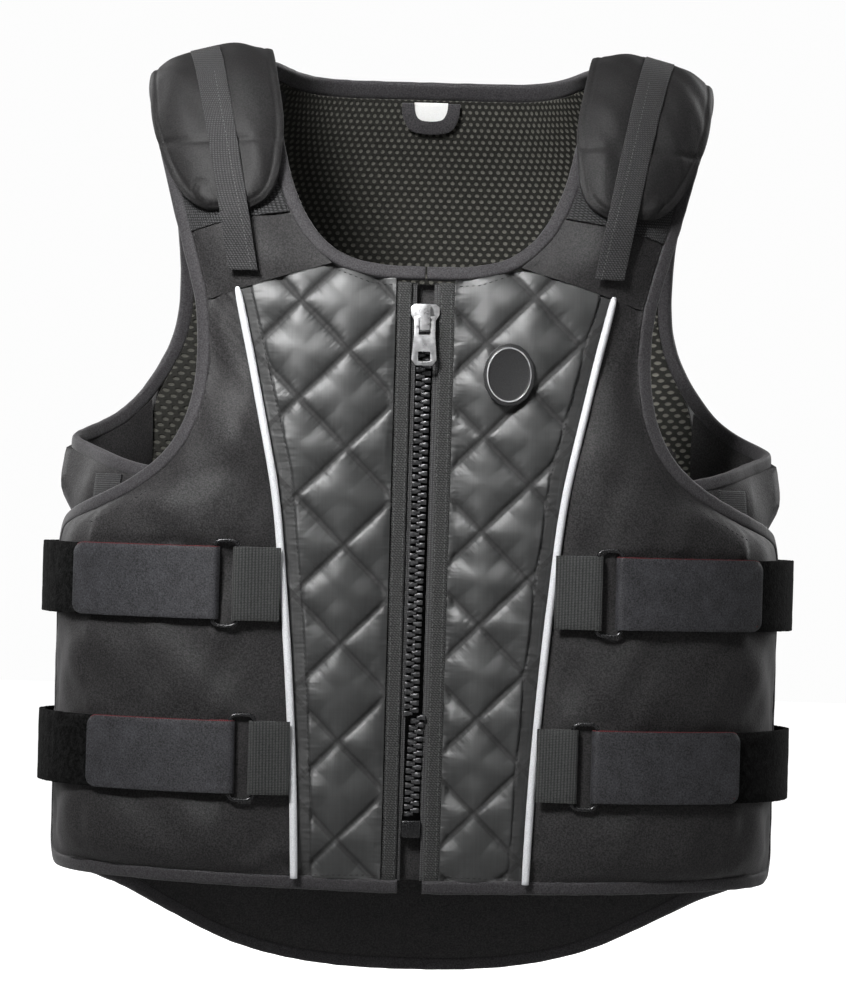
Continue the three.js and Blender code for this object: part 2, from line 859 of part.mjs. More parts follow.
// Teeth: one toothed bar for each half, whose peaks stand in the other's hollows
const teethStart = sliderRun + sliderLength * 0.2;
const teethEnd = runAt(boxDrop) - boxHeight / 2 - clearance;
const teethCount = Math.round((teethEnd - teethStart) / teethPitch);
function teeth(side, phase) {
  const steps = 2 * teethCount;
  const reach = teethWidth / 2;
  const outline = even(steps).map((share, i) => {
    const inside = (i + phase) % 2 === 0 ? -toothReach : toothReach;
    return new THREE.Vector2((inside + clearance) * side, lerp(teethStart, teethEnd, share));
  });
  for (const share of even(14)) {
    outline.push(new THREE.Vector2(reach * side, lerp(teethEnd, teethStart, share)));
  }
  const shape = new THREE.Shape(outline);
  const body = new THREE.ExtrudeGeometry(shape, { depth: teethThickness, bevelEnabled: false });
  return reshape(body, (spot) =>
    wrap('front', spot.x, spot.y, zipLevel + spot.z - teethThickness / 2));
}
add('zip_teeth_left', teeth(1, 0), finishes.gunmetal());
add('zip_teeth_right', teeth(-1, 1), finishes.gunmetal());

// Slider on the teeth, drawn flat and then set on the chest's slope
const block = (width, depth, height, x, y, z) => {
  const box = new THREE.BoxGeometry(width, depth, height);
  box.translate(x, y, z);
  return toSolid(box);
};
function plate(outline, depth, y) {
  const shape = new THREE.Shape(outline.map(([x, z]) => new THREE.Vector2(x, z)));
  const body = new THREE.ExtrudeGeometry(shape, { depth, bevelEnabled: false });
  body.rotateX(Math.PI / 2);
  body.translate(0, y, 0);
  return toSolid(body);
}
const sliderHalf = sliderLength / 2;
const plateGap = teethThickness / 2 + sliderPlay;
const foot = sliderWidth * 0.36;
// One side of the plates from the foot up, as shares of the slider's width and half length
const sliderTable = [
  { across: 0.36, along: -1 },
  { across: 0.36, along: -0.2 },
  { across: 0.5, along: 0.25 },
  { across: 0.5, along: 0.8 },
  { across: 0.375, along: 1 },
];
const sliderSide = (side) =>
  sliderTable.map((row) => [side * row.across * sliderWidth, row.along * sliderHalf]);
const sliderOutline = [...sliderSide(1), ...sliderSide(-1).reverse()];
const bridgeFace = -plateGap - sliderPlate - bridgeHeight;
const bridgeLength = sliderLength * 0.94;
const overlap = 0.2;
const legDepth = bridgeHeight + overlap;
const flangeFace = tapeThickness / 2 + flangePlay;
const flangeDepth = plateGap - flangeFace + overlap;
const flangeAt = (plateGap + flangeFace) / 2;
const flangeTall = sliderHalf * 0.8;
let slider = plate(sliderOutline, sliderPlate, -plateGap)
  .add(plate(sliderOutline, sliderPlate, plateGap + sliderPlate))
  .add(block(sliderWidth * 0.17, 2 * plateGap + 1, sliderHalf * 0.3, 0, 0, sliderHalf * 0.8))
  .add(block(bridgeWidth, sliderPlate, bridgeLength, 0, bridgeFace + sliderPlate / 2, 0));
for (const end of [-1, 1]) {
  const legCentre = bridgeFace + legDepth / 2;
  const legAt = end * (bridgeLength - sliderPlate) / 2;
  slider = slider.add(block(bridgeWidth, legDepth, sliderPlate, 0, legCentre, legAt));
  for (const face of [-1, 1]) {
    const side = end * (foot - flangeThickness / 2);
    slider = slider.add(
      block(flangeThickness, flangeDepth, flangeTall, side, face * flangeAt, -sliderHalf * 0.6),
    );
  }
}
const zipSpot = wrap('front', 0, sliderRun, zipLevel);
const zipFacing = formNormal('front', 0, sliderRun);
const zipFrame = new THREE.Group();
zipFrame.position.copy(zipSpot);
zipFrame.rotation.x = -Math.atan2(zipFacing.z, -zipFacing.y);
vest.add(zipFrame);
add('zip_slider', fromSolid(slider), finishes.silver(), zipFrame);

// Pull: a round bar under the bridge, two arms past it and a plate with a window at its end
const axisOut = bridgeFace + sliderPlate + clearance + pullThickness / 2;
const eyeReach = bridgeLength / 2 + pullChamfer;
const barHalf = pullThickness / 2;
const pullOutline = [
  [-pullTopWidth / 2, 0],
  [pullTopWidth / 2, 0],
  [pullTopWidth / 2, -eyeReach],
  [pullEndWidth / 2, -pullLength + pullTaper],
  [pullEndWidth / 2 - pullChamfer, -pullLength + barHalf],
  [-pullEndWidth / 2 + pullChamfer, -pullLength + barHalf],
  [-pullEndWidth / 2, -pullLength + pullTaper],
  [-pullTopWidth / 2, -eyeReach],
];
const eyeWidth = bridgeWidth + 2 * flangePlay;
const through = 3 * pullThickness;
const windowMiddle = -pullLength + windowUp + windowLength / 2;
const bar = new THREE.CylinderGeometry(barHalf, barHalf, pullTopWidth, 12);
bar.rotateZ(Math.PI / 2);
const pull = plate(pullOutline, pullThickness, barHalf)
  .subtract(block(eyeWidth, through, eyeReach, 0, 0, -eyeReach / 2))
  .subtract(block(windowWidth, through, windowLength, 0, 0, windowMiddle))
  .add(toSolid(bar));
const pullMesh = add('zip_pull', fromSolid(pull), finishes.silver(), zipFrame);
pullMesh.position.set(0, axisOut, 0);

add(
  'zip_box',
  slab(1, 1, (column, row, level) =>
    wrap(
      'front',
      (column - 0.5) * boxWidth,
      boxRun + (row - 0.5) * boxHeight,
      zipLevel + (level - 0.5) * boxThickness + (level ? 0 : 0.5),
    ),
  ),
  finishes.plastic(),
);

// Back

// Back armhole: inward from the strap's end to the narrowest, then outward to the side
const backUpperTable = [
  { inward: 0, down: 0 },
  { inward: 0.32, down: 0.33 },
  { inward: 0.84, down: 0.7 },
  { inward: 1, down: 1 },
];
const backLowerTable = [
  { outward: 0.08, down: 0.33 },
  { outward: 0.42, down: 0.65 },
  { outward: 0.78, down: 0.86 },
];
// Top of the wing from the side forward, across and down as shares of the way to its front end
const wingTopTable = [
  { forward: 0.35, down: 0.45 },
  { forward: 0.7, down: 0.9 },
  { forward: 1, down: 1 },
];
// Lower edge of the back from the middle out: the tail
const tailTable = [
  { across: 0, down: 1 },
  { across: 0.17, down: 0.99 },
  { across: 0.34, down: 0.92 },
  { across: 0.5, down: 0.78 },
  { across: 0.64, down: 0.54 },
  { across: 0.8, down: 0.24 },
];

const sideOfBack = (drop) => new THREE.Vector2(quarter('back', drop), runAt(drop));
// A pattern point of the front, told from the middle of the back
const fromBack = (point) => {
  const drop = dropAt(point.y);
  const u = quarter('back', drop) + quarter('front', drop) - point.x;
  return new THREE.Vector2(u, point.y);
};
// Above the front panel's corner the free wing stands out as far as the panel below it
function flareAt(point) {
  const drop = dropAt(point.y);
  const forward = point.x - sideOfBack(drop).x;
  const round = forward > 0 ? 1 - forward / flareAhead : 1 + forward / flareBehind;
  const above = smooth((drop - backChestDrop) / (wingTopDrop - backChestDrop));
  return wingFlare * smooth(round) * above * smooth((armholeDrop - drop) / flareRise);
}
const backOuter = bodyHalfWidth + wingThickness;
const backArm = curve([
  ...backUpperTable.map((row) =>
    across('back', lerp(strapOuter, backChestHalf, row.inward), row.down * backChestDrop),
  ),
  ...backLowerTable.map((row) =>
    across(
      'back',
      lerp(backChestHalf, backOuter, row.outward),
      lerp(backChestDrop, wingTopDrop, row.down),
    ),
  ),
  sideOfBack(wingTopDrop),
]);
const sideFront = fromBack(across('front', wingFrontAcross, wingFrontDrop, wingThickness));
const wingTop = curve([
  sideOfBack(wingTopDrop),
  ...wingTopTable.map(
    (row) =>
      new THREE.Vector2(
        lerp(quarter('back', wingTopDrop), sideFront.x, row.forward),
        lerp(runAt(wingTopDrop), sideFront.y, row.down),
      ),
  ),
]);
const backSeamRun = backArm
  .filter((p) => p.y > runAt(backChestDrop))
  .find((p) => p.x >= across('back', wingSeamAcross, dropAt(p.y)).x).y;
const backCut = cutAtRun(backArm, backSeamRun);
const backArmLine = resample(backCut[0], even(10));
const wingBackLine = resample(backCut[1], even(4));
const wingTopLine = resample(wingTop, even(5));
const armholeRun = [...backArmLine, ...wingBackLine.slice(1), ...wingTopLine.slice(1)];
const armholeInner = inset('back', armholeRun, setIn, 1);
const backArmInner = armholeInner.slice(0, backArmLine.length);
const wingTopInner = armholeInner.slice(backArmLine.length - 1);

const napeCorner = across('back', neckHalfWidth, 0);
const napeTable = [
  { across: 0, down: 1 },
  { across: 0.3, down: 1 },
  { across: 0.55, down: 1 },
  { across: 0.75, down: 0.75 },
  { across: 0.9, down: 0.25 },
];
const napeLine = resample(
  curve([
    ...napeTable.map((row) => across('back', row.across * neckHalfWidth, row.down * backNeckDrop)),
    napeCorner,
  ]),
  [0, 0.25, 0.5, 0.7, 0.86, 0.97],
);
const napeInner = inset('back', napeLine, setIn, 1);
napeInner[0].x = 0;

const tailRise = tailLength - sideLength;
const tailPoints = tailTable.map((row) =>
  across('back', row.across * outerHalf, tailLength - (1 - row.down) * tailRise),
);
const backColumns = [0, 0.16, 0.32, 0.47, 0.62, 0.76, 0.88, 1];
const tailLine = resample(curve(tailPoints), backColumns);
const tailInner = inset('back', tailLine, setIn, -1);
tailInner[0].x = 0;
const wingHemBack = tailLine[tailLine.length - 1];

// Back panel: one padded piece from strap to strap, with the tail
const napeEnd = napeInner[napeInner.length - 1];
const backRidge = resample([napeEnd, backArmInner[0]], [0, 0.5, 1]);
const backTopLine = [...napeInner, ...backRidge.slice(1)];
const wingSeam = resample([tailInner.at(-1), backArmInner.at(-1)], even(6));
const backSide = [...wingSeam, ...[...backArmInner].reverse().slice(1)];
const backRows = sharesOf(backSide);
const backMiddle = resample([tailInner[0], napeInner[0]], backRows);
const backHalfGrid = patch(
  tailInner,
  backTopLine,
  backMiddle,
  backSide,
  backColumns,
  backRows,
);
const napeColumns = napeInner.length - 1;
const ridgeOf = (row) => row.slice(napeColumns + 1);
drawBack(ridgeOf(backHalfGrid.at(-1)), ridgeOf(backHalfGrid.at(-2)), clearance);
const backEdges = [tailInner, backArmInner, napeInner];
const wingSeamLine = [wingSeam];
const backWall = (point) => {
  const spot = new THREE.Vector2(Math.abs(point.x), point.y);
  const wall = wallAt(spot, foamAt(spot.y), backEdges, wingSeamLine);
  return [wall.inner, wall.outer];
};
const wholeRow = (row) => [
  ...row.slice(1).reverse().map((p) => new THREE.Vector2(-p.x, p.y)),
  ...row,
];
const backGrid = backHalfGrid.map(wholeRow);
add('back_panel', layer('back', backGrid, backWall), finishes.shell());

// Mesh lining on its inner face, down to the tail
const liningWall = (point) => {
  const inner = backWall(point)[0] - clearance;
  return [inner - liningThickness, inner];
};
const liningStart = 3;
add('back_lining', layer('back', backGrid.slice(liningStart), liningWall, true), finishes.mesh());

// Wing: from the back panel round the side and under the front panel
const wingHemFront = fromBack(across('front', wingFrontAcross, sideLength, wingThickness));
const wingHem = resample([wingHemBack, sideOfBack(sideLength), wingHemFront], even(9));
const wingHemInner = inset('back', wingHem, setIn, -1);
const wingColumns = even(9);
const wingRows = [0, 0.28, 0.54, 0.75, 0.87, 0.94, 1];
const wingGrid = patch(
  wingHemInner,
  wingTopInner,
  resample([wingHemInner[0], wingTopInner[0]], wingRows),
  resample([wingHemInner[9], wingTopInner[9]], wingRows),
  wingColumns,
  wingRows,
);
drawBack(columnOf(wingGrid, 0), columnOf(wingGrid, 1), seamGap);
const wingEdges = [wingTopInner, wingHemInner];
const wingWall = (point) => {
  const wall = wallAt(point, wingThickness, wingEdges, []);
  const flare = flareAt(point);
  return [wall.inner + flare, wall.outer + flare];
};
addPair('side_wing', layer('back', wingGrid, wingWall), finishes.shell);

// Bindings of the back
const backEdgeMiddle = (point) => {
  const toWing = smooth((point.x - wingTopInner[0].x) / wingBlend + 0.5);
  return lerp(foamAt(point.y), wingThickness, toWing) / 2 + toWing * flareAt(point);
};
addPair('back_arm_binding', bind('back', armholeRun, 1, backEdgeMiddle), finishes.trim);
const wholeNape = wholeRow(napeLine);
add(
  'back_neck_binding',
  bind('back', wholeNape, 1, (point) => foamAt(point.y) / 2),
  finishes.trim(),
);
const hemRun = [...tailLine, ...wingHem.slice(1)];
const wholeHem = wholeRow(hemRun);
add('tail_binding', bind('back', wholeHem, -1, (point) => {
  const toWing = smooth((Math.abs(point.x) - tailInner.at(-1).x) / wingBlend + 0.5);
  return lerp(foamThickness, wingThickness, toWing) / 2;
}), finishes.trim());

// Loop tape upright on the wing, tucked under the front panel
const wingStripU = fromBack(across('front', wingStripAcross, wingTopDrop, wingThickness)).x;
const wingStripTop = runAt(lerp(wingTopDrop, wingFrontDrop, 0.5)) + setIn + 6;
addPair(
  'wing_strip',
  slab(2, 6, (column, row, level) => {
    const u = wingStripU + (column / 2 - 0.5) * wingStripWidth;
    const v = lerp(wingStripTop, runAt(armholeDrop - wingStripShort), row / 6);
    const seat = wingWall(new THREE.Vector2(u, v))[1] + lerp(layerSlack, clearance, row / 6);
    return wrap('back', u, v, seat + level * stripThickness);
  }),
  finishes.webbing,
);

// Shoulders

// Loop patch over the upper face of the yoke
const patchGrid = yokeGrid.filter((row) => {
  const drop = dropAt(row[3].y);
  return drop > patchStartDrop && drop < patchEndDrop;
});
const patchWall = (point) => {
  const seat = frontWall(point)[1] + clearance;
  return [seat, seat + patchThickness];
};
addPair('loop_patch', layer('front', patchGrid, patchWall, true), finishes.webbing);

// Flap from behind the shoulder to the chest, its front end round: edges as shares of its width
// lost on each side
const flapTable = [
  { run: -1, inner: 0, outer: 0 },
  { run: -0.7, inner: 0, outer: 0 },
  { run: -0.45, inner: 0, outer: 0 },
  { run: -0.2, inner: 0, outer: 0 },
  { run: 0, inner: 0, outer: 0 },
  { run: 0.09, inner: 0, outer: 0 },
  { run: 0.18, inner: 0, outer: 0 },
  { run: 0.28, inner: 0, outer: 0 },
  { run: 0.38, inner: 0, outer: 0 },
  { run: 0.49, inner: 0, outer: 0 },
  { run: 0.6, inner: 0.02, outer: 0.01 },
  { run: 0.71, inner: 0.06, outer: 0.03 },
  { run: 0.82, inner: 0.11, outer: 0.06 },
  { run: 0.91, inner: 0.2, outer: 0.11 },
  { run: 0.965, inner: 0.3, outer: 0.17 },
  { run: 1, inner: 0.44, outer: 0.27 },
];
// Its section: thin sewn sides and a raised middle
const flapSection = [
  { across: 0, raise: 0 },
  { across: 0.1, raise: 0.1 },
  { across: 0.2, raise: 1 },
  { across: 0.5, raise: 1 },
  { across: 0.8, raise: 1 },
  { across: 0.9, raise: 0.1 },
  { across: 1, raise: 0 },
];
const flapSeat = (v) => foamAt(v) + patchThickness + 2 * clearance + layerSlack;
const flapDroop = 2;
const widthAt = (outline, v) => {
  const hit = Math.max(outline.findIndex((p) => p.y >= v), 1);
  const [a, b] = [outline[hit - 1], outline[hit]];
  return lerp(a.x, b.x, (v - a.y) / (b.y - a.y));
};
const frontRunOf = (share) => (share < 0 ? share * flapBackReach : share * runAt(flapFrontReach));
function flapPoint(column, row) {
  const { run, inner, outer } = flapTable[row];
  const v = frontRunOf(run);
  const inEdge = v < 0 ? napeCorner.x - 1 : widthAt(neckOutline, v) - flapOverhang;
  const outEdge = v < 0 ? widthAt(backArm, -v) : widthAt(armOutline, v);
  const width = outEdge - inEdge;
  const from = inEdge + inner * width;
  const to = outEdge - outer * width;
  return new THREE.Vector2(lerp(from, to, flapSection[column].across), v);
}
addPair(
  'shoulder_flap',
  slab(flapSection.length - 1, flapTable.length - 1, (column, row, level) => {
    const point = flapPoint(column, row);
    const rim = row === 0 || row === flapTable.length - 1;
    const { raise: middle } = flapSection[column];
    const raise = rim ? 0 : middle;
    const droop = flapDroop * (1 - smooth((flapTable[row].run - 0.5) / 0.3));
    const seat = flapSeat(point.y) - droop * (1 - smooth(middle));
    const thickness = lerp(flapEdgeThickness, flapPadThickness, raise);
    const half = point.y < 0 ? 'back' : 'front';
    return wrap(half, point.x, Math.abs(point.y), seat + level * thickness);
  }),
  finishes.shell,
);

// Narrow strip from the top of the flap down to the yoke seam
const stripStart = runAt(stripTopDrop);
const stripEnd = runAt(lerp(neckSeamDrop, armSeamDrop, 0.6)) - stripEndGap;
const stripSteps = 14;
const flapEndRun = runAt(flapFrontReach);
addPair(
  'shoulder_strip',
  slab(1, stripSteps, (column, row, level) => {
    const share = row / stripSteps;
    const v = lerp(stripStart, stripEnd, share);
    const x = lerp(stripTopAcross, stripEndAcross, share) + (column - 0.5) * stripWidth;
    const fallShare = smooth((v - flapEndRun) / (stripEnd - flapEndRun));
    const off = flapSeat(v) + clearance + layerSlack + flapPadThickness * (1 - fallShare);
    const u = across('front', x, dropAt(v), off).x;
    return wrap('front', u, v, off + level * stripThickness);
  }),
  finishes.webbing,
);

// Side straps

const strapBase = (u, v) => liftAt(u, v) + foamAt(v) + 2 * clearance;
const ringLevel = ringWire / 2 + webbingThickness + 2 * clearance;
const foldRadius = ringWire / 2 + clearance;
const ringHalf = (ringWidth - ringWire) / 2;

// Run of a tape folded round a bar: along the surface and above it, for its middle line
function foldPath(under, over, settle) {
  const middle = foldRadius + webbingThickness / 2;
  const path = [];
  for (const share of [0, 1]) {
    path.push([lerp(under, 0, share), ringLevel - middle]);
  }
  for (const share of [0.25, 0.5, 0.75, 1]) {
    const angle = -Math.PI / 2 - share * Math.PI;
    path.push([Math.cos(angle) * middle, ringLevel + Math.sin(angle) * middle]);
  }
  const steps = Math.max(Math.round(over / 14), 2);
  for (let i = 1; i <= steps; i++) {
    const run = (over * i) / steps;
    path.push([run, lerp(ringLevel + middle, settle, smooth(run / tapeSettle))]);
  }
  return path;
}

// Tape folded round a bar of the ring; it leads away along the surface in the given direction
function foldedTape(barU, middleRun, direction, path, width) {
  return slab(2, path.length - 1, (column, row, level) => {
    const before = path[Math.max(row - 1, 0)];
    const after = path[Math.min(row + 1, path.length - 1)];
    const along = new THREE.Vector2(after[0] - before[0], after[1] - before[1]).normalize();
    const side = (level - 0.5) * webbingThickness;
    const run = path[row][0] + along.y * side;
    const rise = path[row][1] - along.x * side;
    const u = barU + direction * run;
    const v = middleRun + (column / 2 - 0.5) * width;
    return wrap('front', u, v, strapBase(u, v) - clearance + rise);
  });
}

// Rectangular ring with rounded corners, lying over the strap's middle
const cornerSteps = 4;
function ringBody(centreU, middleRun) {
  const halfTall = (ringHeight - ringWire) / 2;
  const steps = 4 * cornerSteps;
  return reshape(new THREE.TorusGeometry(2, 1, 4, steps), (spot) => {
    const turn = Math.atan2(spot.y, spot.x) / (2 * Math.PI);
    const index = Math.round(((turn + 1) % 1) * steps) % steps;
    const corner = Math.floor(index / cornerSteps);
    const share = (index % cornerSteps) / (cornerSteps - 1);
    const angle = (corner + share) * (Math.PI / 2);
    const toSide = corner === 0 || corner === 3 ? 1 : -1;
    const toEnd = corner < 2 ? 1 : -1;
    const reach = ringCorner + (ringWire / 2) * (Math.hypot(spot.x, spot.y) - 2);
    const u = centreU + toSide * (ringHalf - ringCorner) + Math.cos(angle) * reach;
    const v = middleRun + toEnd * (halfTall - ringCorner) + Math.sin(angle) * reach;
    return wrap('front', u, v, strapBase(u, v) - clearance + ringLevel + (spot.z * ringWire) / 2);
  });
}

const straps = [
  { name: 'upper', drop: upperStrapDrop, ringAcross: upperRingAcross },
  { name: 'lower', drop: lowerStrapDrop, ringAcross: lowerRingAcross },
];
for (const strap of straps) {
  const middleRun = runAt(strap.drop);
  const ringU = across('front', strap.ringAcross, strap.drop, foamThickness + ringLevel).x;
  const innerBar = ringU - ringHalf;
  const outerBar = ringU + ringHalf;
  const pipingU = pipingLine.reduce((best, p) =>
    Math.abs(p.y - middleRun) < Math.abs(best.y - middleRun) ? p : best).x;
  const webbingRun = innerBar - pipingU - pipingRadius - 3;
  const webbingPath = foldPath(webbingUnder, webbingRun, webbingThickness * 2.2);
  addPair(
    `${strap.name}_webbing`,
    foldedTape(innerBar, middleRun, -1, webbingPath, webbingWidth),
    finishes.webbing,
  );
  addPair(`${strap.name}_ring`, ringBody(ringU, middleRun), finishes.plastic);
  const onPlush = plushThickness + 2 * clearance + webbingThickness / 2 + layerSlack;
  const tabPath = foldPath(hookTabUnder, hookTabLength, onPlush);
  addPair(
    `${strap.name}_hook_tab`,
    foldedTape(outerBar, middleRun, 1, tabPath, webbingWidth - 1),
    finishes.suede,
  );
  const bandStart = outerBar + hookTabUnder + clearance;
  const girth = quarter('front', strap.drop) + quarter('back', strap.drop);
  const bandEnd = girth - across('back', plushEndAcross, strap.drop).x;
  const sideRun = quarter('front', strap.drop) - sideEdgeBack;
  const steps = Math.round((bandEnd - bandStart) / 13);
  addPair(
    `${strap.name}_plush_band`,
    slab(1, steps, (column, row, level) => {
      const u = lerp(bandStart, bandEnd, row / steps);
      const v = middleRun + (column - 0.5) * (webbingWidth - 1);
      const settle = smooth((u - sideRun) / plushSettle);
      const seat = lerp(strapBase(Math.min(u, sideRun), v), foamThickness + 2 * clearance, settle);
      return wrap('front', u, v, seat + level * plushThickness);
    }),
    finishes.plush,
  );
}

// Badge: a plain oval patch on the left quilted panel
const badgeSpot = across('front', badgeAcross, badgeDrop, foamThickness);
add(
  'badge_patch',
  reshape(new THREE.CylinderGeometry(1, 1, 1, 16, 1), (spot) => {
    const u = badgeSpot.x + (spot.x * badgeWidth) / 2;
    const v = badgeSpot.y + (spot.z * badgeHeight) / 2;
    const seat = foamThickness + quiltSwell / 2 + clearance;
    return wrap('front', u, v, seat + (spot.y + 0.5) * badgeThickness);
  }),
  finishes.rubber(),
);

// Hang loop and label inside the back neck
const loopTop = dropAt(napeInner[0].y) + 1;
const loopSeat = -liningThickness - 2 * clearance;
// From one end of the loop to the other, as shares of its half width and its depth
const loopTable = [
  { across: -1, down: 0 },
  { across: -1, down: 0.35 },
  { across: -0.82, down: 0.8 },
  { across: -0.5, down: 1 },
  { across: 0.5, down: 1 },
  { across: 0.82, down: 0.8 },
  { across: 1, down: 0.35 },
  { across: 1, down: 0 },
];
const onNape = (u, drop, lift) => {
  const point = new THREE.Vector2(u, runAt(drop));
  return wrap('back', point.x, point.y, backWall(point)[0] + loopSeat - lift);
};
add(
  'hang_loop',
  slab(1, loopTable.length - 1, (column, row, level) => {
    const { across: sideways, down } = loopTable[row];
    const halfWide = hangLoopWidth / 2 - (column ? 0 : hangLoopTape);
    const deep = hangLoopDrop - (column ? 0 : hangLoopTape);
    const lift = labelThickness + clearance + (1 - level) * stripThickness;
    return onNape(sideways * halfWide, loopTop + down * deep, lift);
  }),
  finishes.webbing(),
);
add(
  'neck_label',
  slab(2, 1, (column, row, level) => {
    const u = (column / 2 - 0.5) * labelWidth;
    return onNape(u, loopTop + row * labelHeight, (1 - level) * labelThickness);
  }),
  finishes.label(),
);

export default vest;
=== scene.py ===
"""Riding body protector: foam pieces in cloth, bindings, zip, straps, studio and camera.

Metres, +Z up, the front faces -Y. Left and right are the wearer's, and +X is the left.
"""
import math

import bmesh
import bpy
import numpy as np
from mathutils import Matrix, Vector
from mathutils.bvhtree import BVHTree
from mathutils.kdtree import KDTree


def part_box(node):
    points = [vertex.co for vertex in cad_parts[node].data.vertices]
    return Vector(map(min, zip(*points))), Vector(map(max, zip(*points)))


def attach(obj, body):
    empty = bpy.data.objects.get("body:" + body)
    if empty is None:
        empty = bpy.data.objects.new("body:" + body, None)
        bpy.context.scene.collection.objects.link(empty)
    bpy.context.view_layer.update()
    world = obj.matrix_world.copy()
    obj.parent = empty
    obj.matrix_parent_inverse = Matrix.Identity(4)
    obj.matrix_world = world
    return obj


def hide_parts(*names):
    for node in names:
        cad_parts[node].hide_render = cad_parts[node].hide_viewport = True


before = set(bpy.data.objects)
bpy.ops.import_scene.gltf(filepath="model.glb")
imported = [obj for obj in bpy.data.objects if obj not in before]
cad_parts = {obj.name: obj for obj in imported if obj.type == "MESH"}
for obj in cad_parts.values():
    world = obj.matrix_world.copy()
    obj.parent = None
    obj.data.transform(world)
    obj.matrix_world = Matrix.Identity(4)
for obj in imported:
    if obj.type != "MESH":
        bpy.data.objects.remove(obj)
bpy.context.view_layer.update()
scene = bpy.context.scene
MM = 0.001
SIDES = {"left": 1, "right": -1}
WAVE = 6.28
CLOTH_STEPS = 20

# Half width and half depth of the wearer's form
FORM_WIDE = 0.226
FORM_DEEP = 0.102


# Working on a mesh

def only(piece):
    if bpy.context.object and bpy.context.object.mode != "OBJECT":
        bpy.ops.object.mode_set(mode="OBJECT")
    bpy.ops.object.select_all(action="DESELECT")
    piece.select_set(True)
    bpy.context.view_layer.objects.active = piece


def copy_node(node, name):
    """The CAD piece's mesh in a new object, its corners merged and its triangles paired."""
    piece = bpy.data.objects.new(name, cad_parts[node].data.copy())
    bpy.context.collection.objects.link(piece)
    piece.data.materials.clear()
    only(piece)
    bpy.ops.object.mode_set(mode="EDIT")
    bpy.ops.mesh.select_all(action="SELECT")
    bpy.ops.mesh.remove_doubles(threshold=0.02 * MM)
    bpy.ops.mesh.tris_convert_to_quads(face_threshold=math.radians(70), shape_threshold=math.radians(70))
    bpy.ops.object.mode_set(mode="OBJECT")
    if piece.data.has_custom_normals:
        bpy.ops.mesh.customdata_custom_splitnormals_clear()
    return piece


def apply(piece, kind, **settings):
    only(piece)
    modifier = piece.modifiers.new(kind.lower(), kind)
    for name, value in settings.items():
        setattr(modifier, name, value)
    bpy.ops.object.modifier_apply(modifier=modifier.name)


def crease(piece, angle=50, run=1.0):
    """Keeps the corners between a wall's faces and its rim when it is subdivided.

    The corners that run along a roll may be kept less than the ones round its ends.
    """
    bm = bmesh.new()
    bm.from_mesh(piece.data)
    layer = bm.edges.layers.float.get("crease_edge") or bm.edges.layers.float.new("crease_edge")
    sharp = [
        edge for edge in bm.edges
        if len(edge.link_faces) == 2 and edge.calc_face_angle() > math.radians(angle)]
    met = {}
    for edge in sharp:
        for vertex in edge.verts:
            met[vertex] = met.get(vertex, 0) + 1
    for edge in sharp:
        edge[layer] = 1 if all(met[vertex] > 2 for vertex in edge.verts) else run
    bm.to_mesh(piece.data)
    bm.free()


def subdivide(piece, levels):
    apply(piece, "SUBSURF", levels=levels, render_levels=levels)


def fatten(piece, offset):
    only(piece)
    bpy.ops.object.mode_set(mode="EDIT")
    bpy.ops.mesh.select_all(action="SELECT")
    bpy.ops.transform.shrink_fatten(value=offset)
    bpy.ops.object.mode_set(mode="OBJECT")


def points_of(piece):
    spots = np.empty(len(piece.data.vertices) * 3)
    piece.data.vertices.foreach_get("co", spots)
    return spots.reshape(-1, 3)


def normals_of(piece):
    spots = np.empty(len(piece.data.vertices) * 3)
    piece.data.vertices.foreach_get("normal", spots)
    return spots.reshape(-1, 3)


def move_points(piece, spots):
    piece.data.vertices.foreach_set("co", np.ascontiguousarray(spots, dtype=np.float32).ravel())
    piece.data.update()


def away_from_body(spots):
    """Direction out of the wearer's form at each point."""
    heart = spots.copy()
    heart[:, 0] *= 0.6
    heart[:, 1] = 0
    heart[:, 2] = np.minimum(spots[:, 2], -0.12)
    out = spots - heart
    return out / np.linalg.norm(out, axis=1, keepdims=True)


def rim_points(piece):
    """Corners on a wall's rim, which its creased edges tell."""
    bm = bmesh.new()
    bm.from_mesh(piece.data)
    layer = bm.edges.layers.float.get("crease_edge")
    found = set()
    for edge in bm.edges:
        if layer and edge[layer] > 0.5:
            found.update(v.index for v in edge.verts)
    bm.free()
    return np.array(sorted(found), dtype=int)


def distance_to(spots, others):
    tree = KDTree(len(others))
    for index, spot in enumerate(others):
        tree.insert(spot, index)
    tree.balance()
    return np.array([tree.find(spot)[2] for spot in spots])


def smoothstep(value):
    share = np.clip(value, 0, 1)
    return share * share * (3 - 2 * share)


def folds(a, b=0.0):
    """Uneven waves from -1 to 1 over two lengths, each counted in wave lengths."""
    wave = np.sin(WAVE * (a + 0.31 * np.sin(2.1 * b + 0.7)))
    wave = wave + 0.6 * np.sin(WAVE * (1.73 * a + 0.4 * b) + 1.9)
    wave = wave + 0.45 * np.sin(WAVE * (0.61 * a - 0.8 * b) + 4.1)
    return wave / 1.6


def mark(piece, name, values):
    layer = piece.data.attributes.get(name) or piece.data.attributes.new(name, "FLOAT", "POINT")
    layer.data.foreach_set("value", np.asarray(values, dtype=np.float32))


def neighbours(*own):
    """Surface of all the CAD pieces but the named ones."""
    spots, faces = [], []
    for name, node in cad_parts.items():
        if name in own:
            continue
        shift = len(spots)
        spots += [v.co.copy() for v in node.data.vertices]
        faces += [tuple(corner + shift for corner in face.vertices) for face in node.data.polygons]
    return BVHTree.FromPolygons(spots, faces)


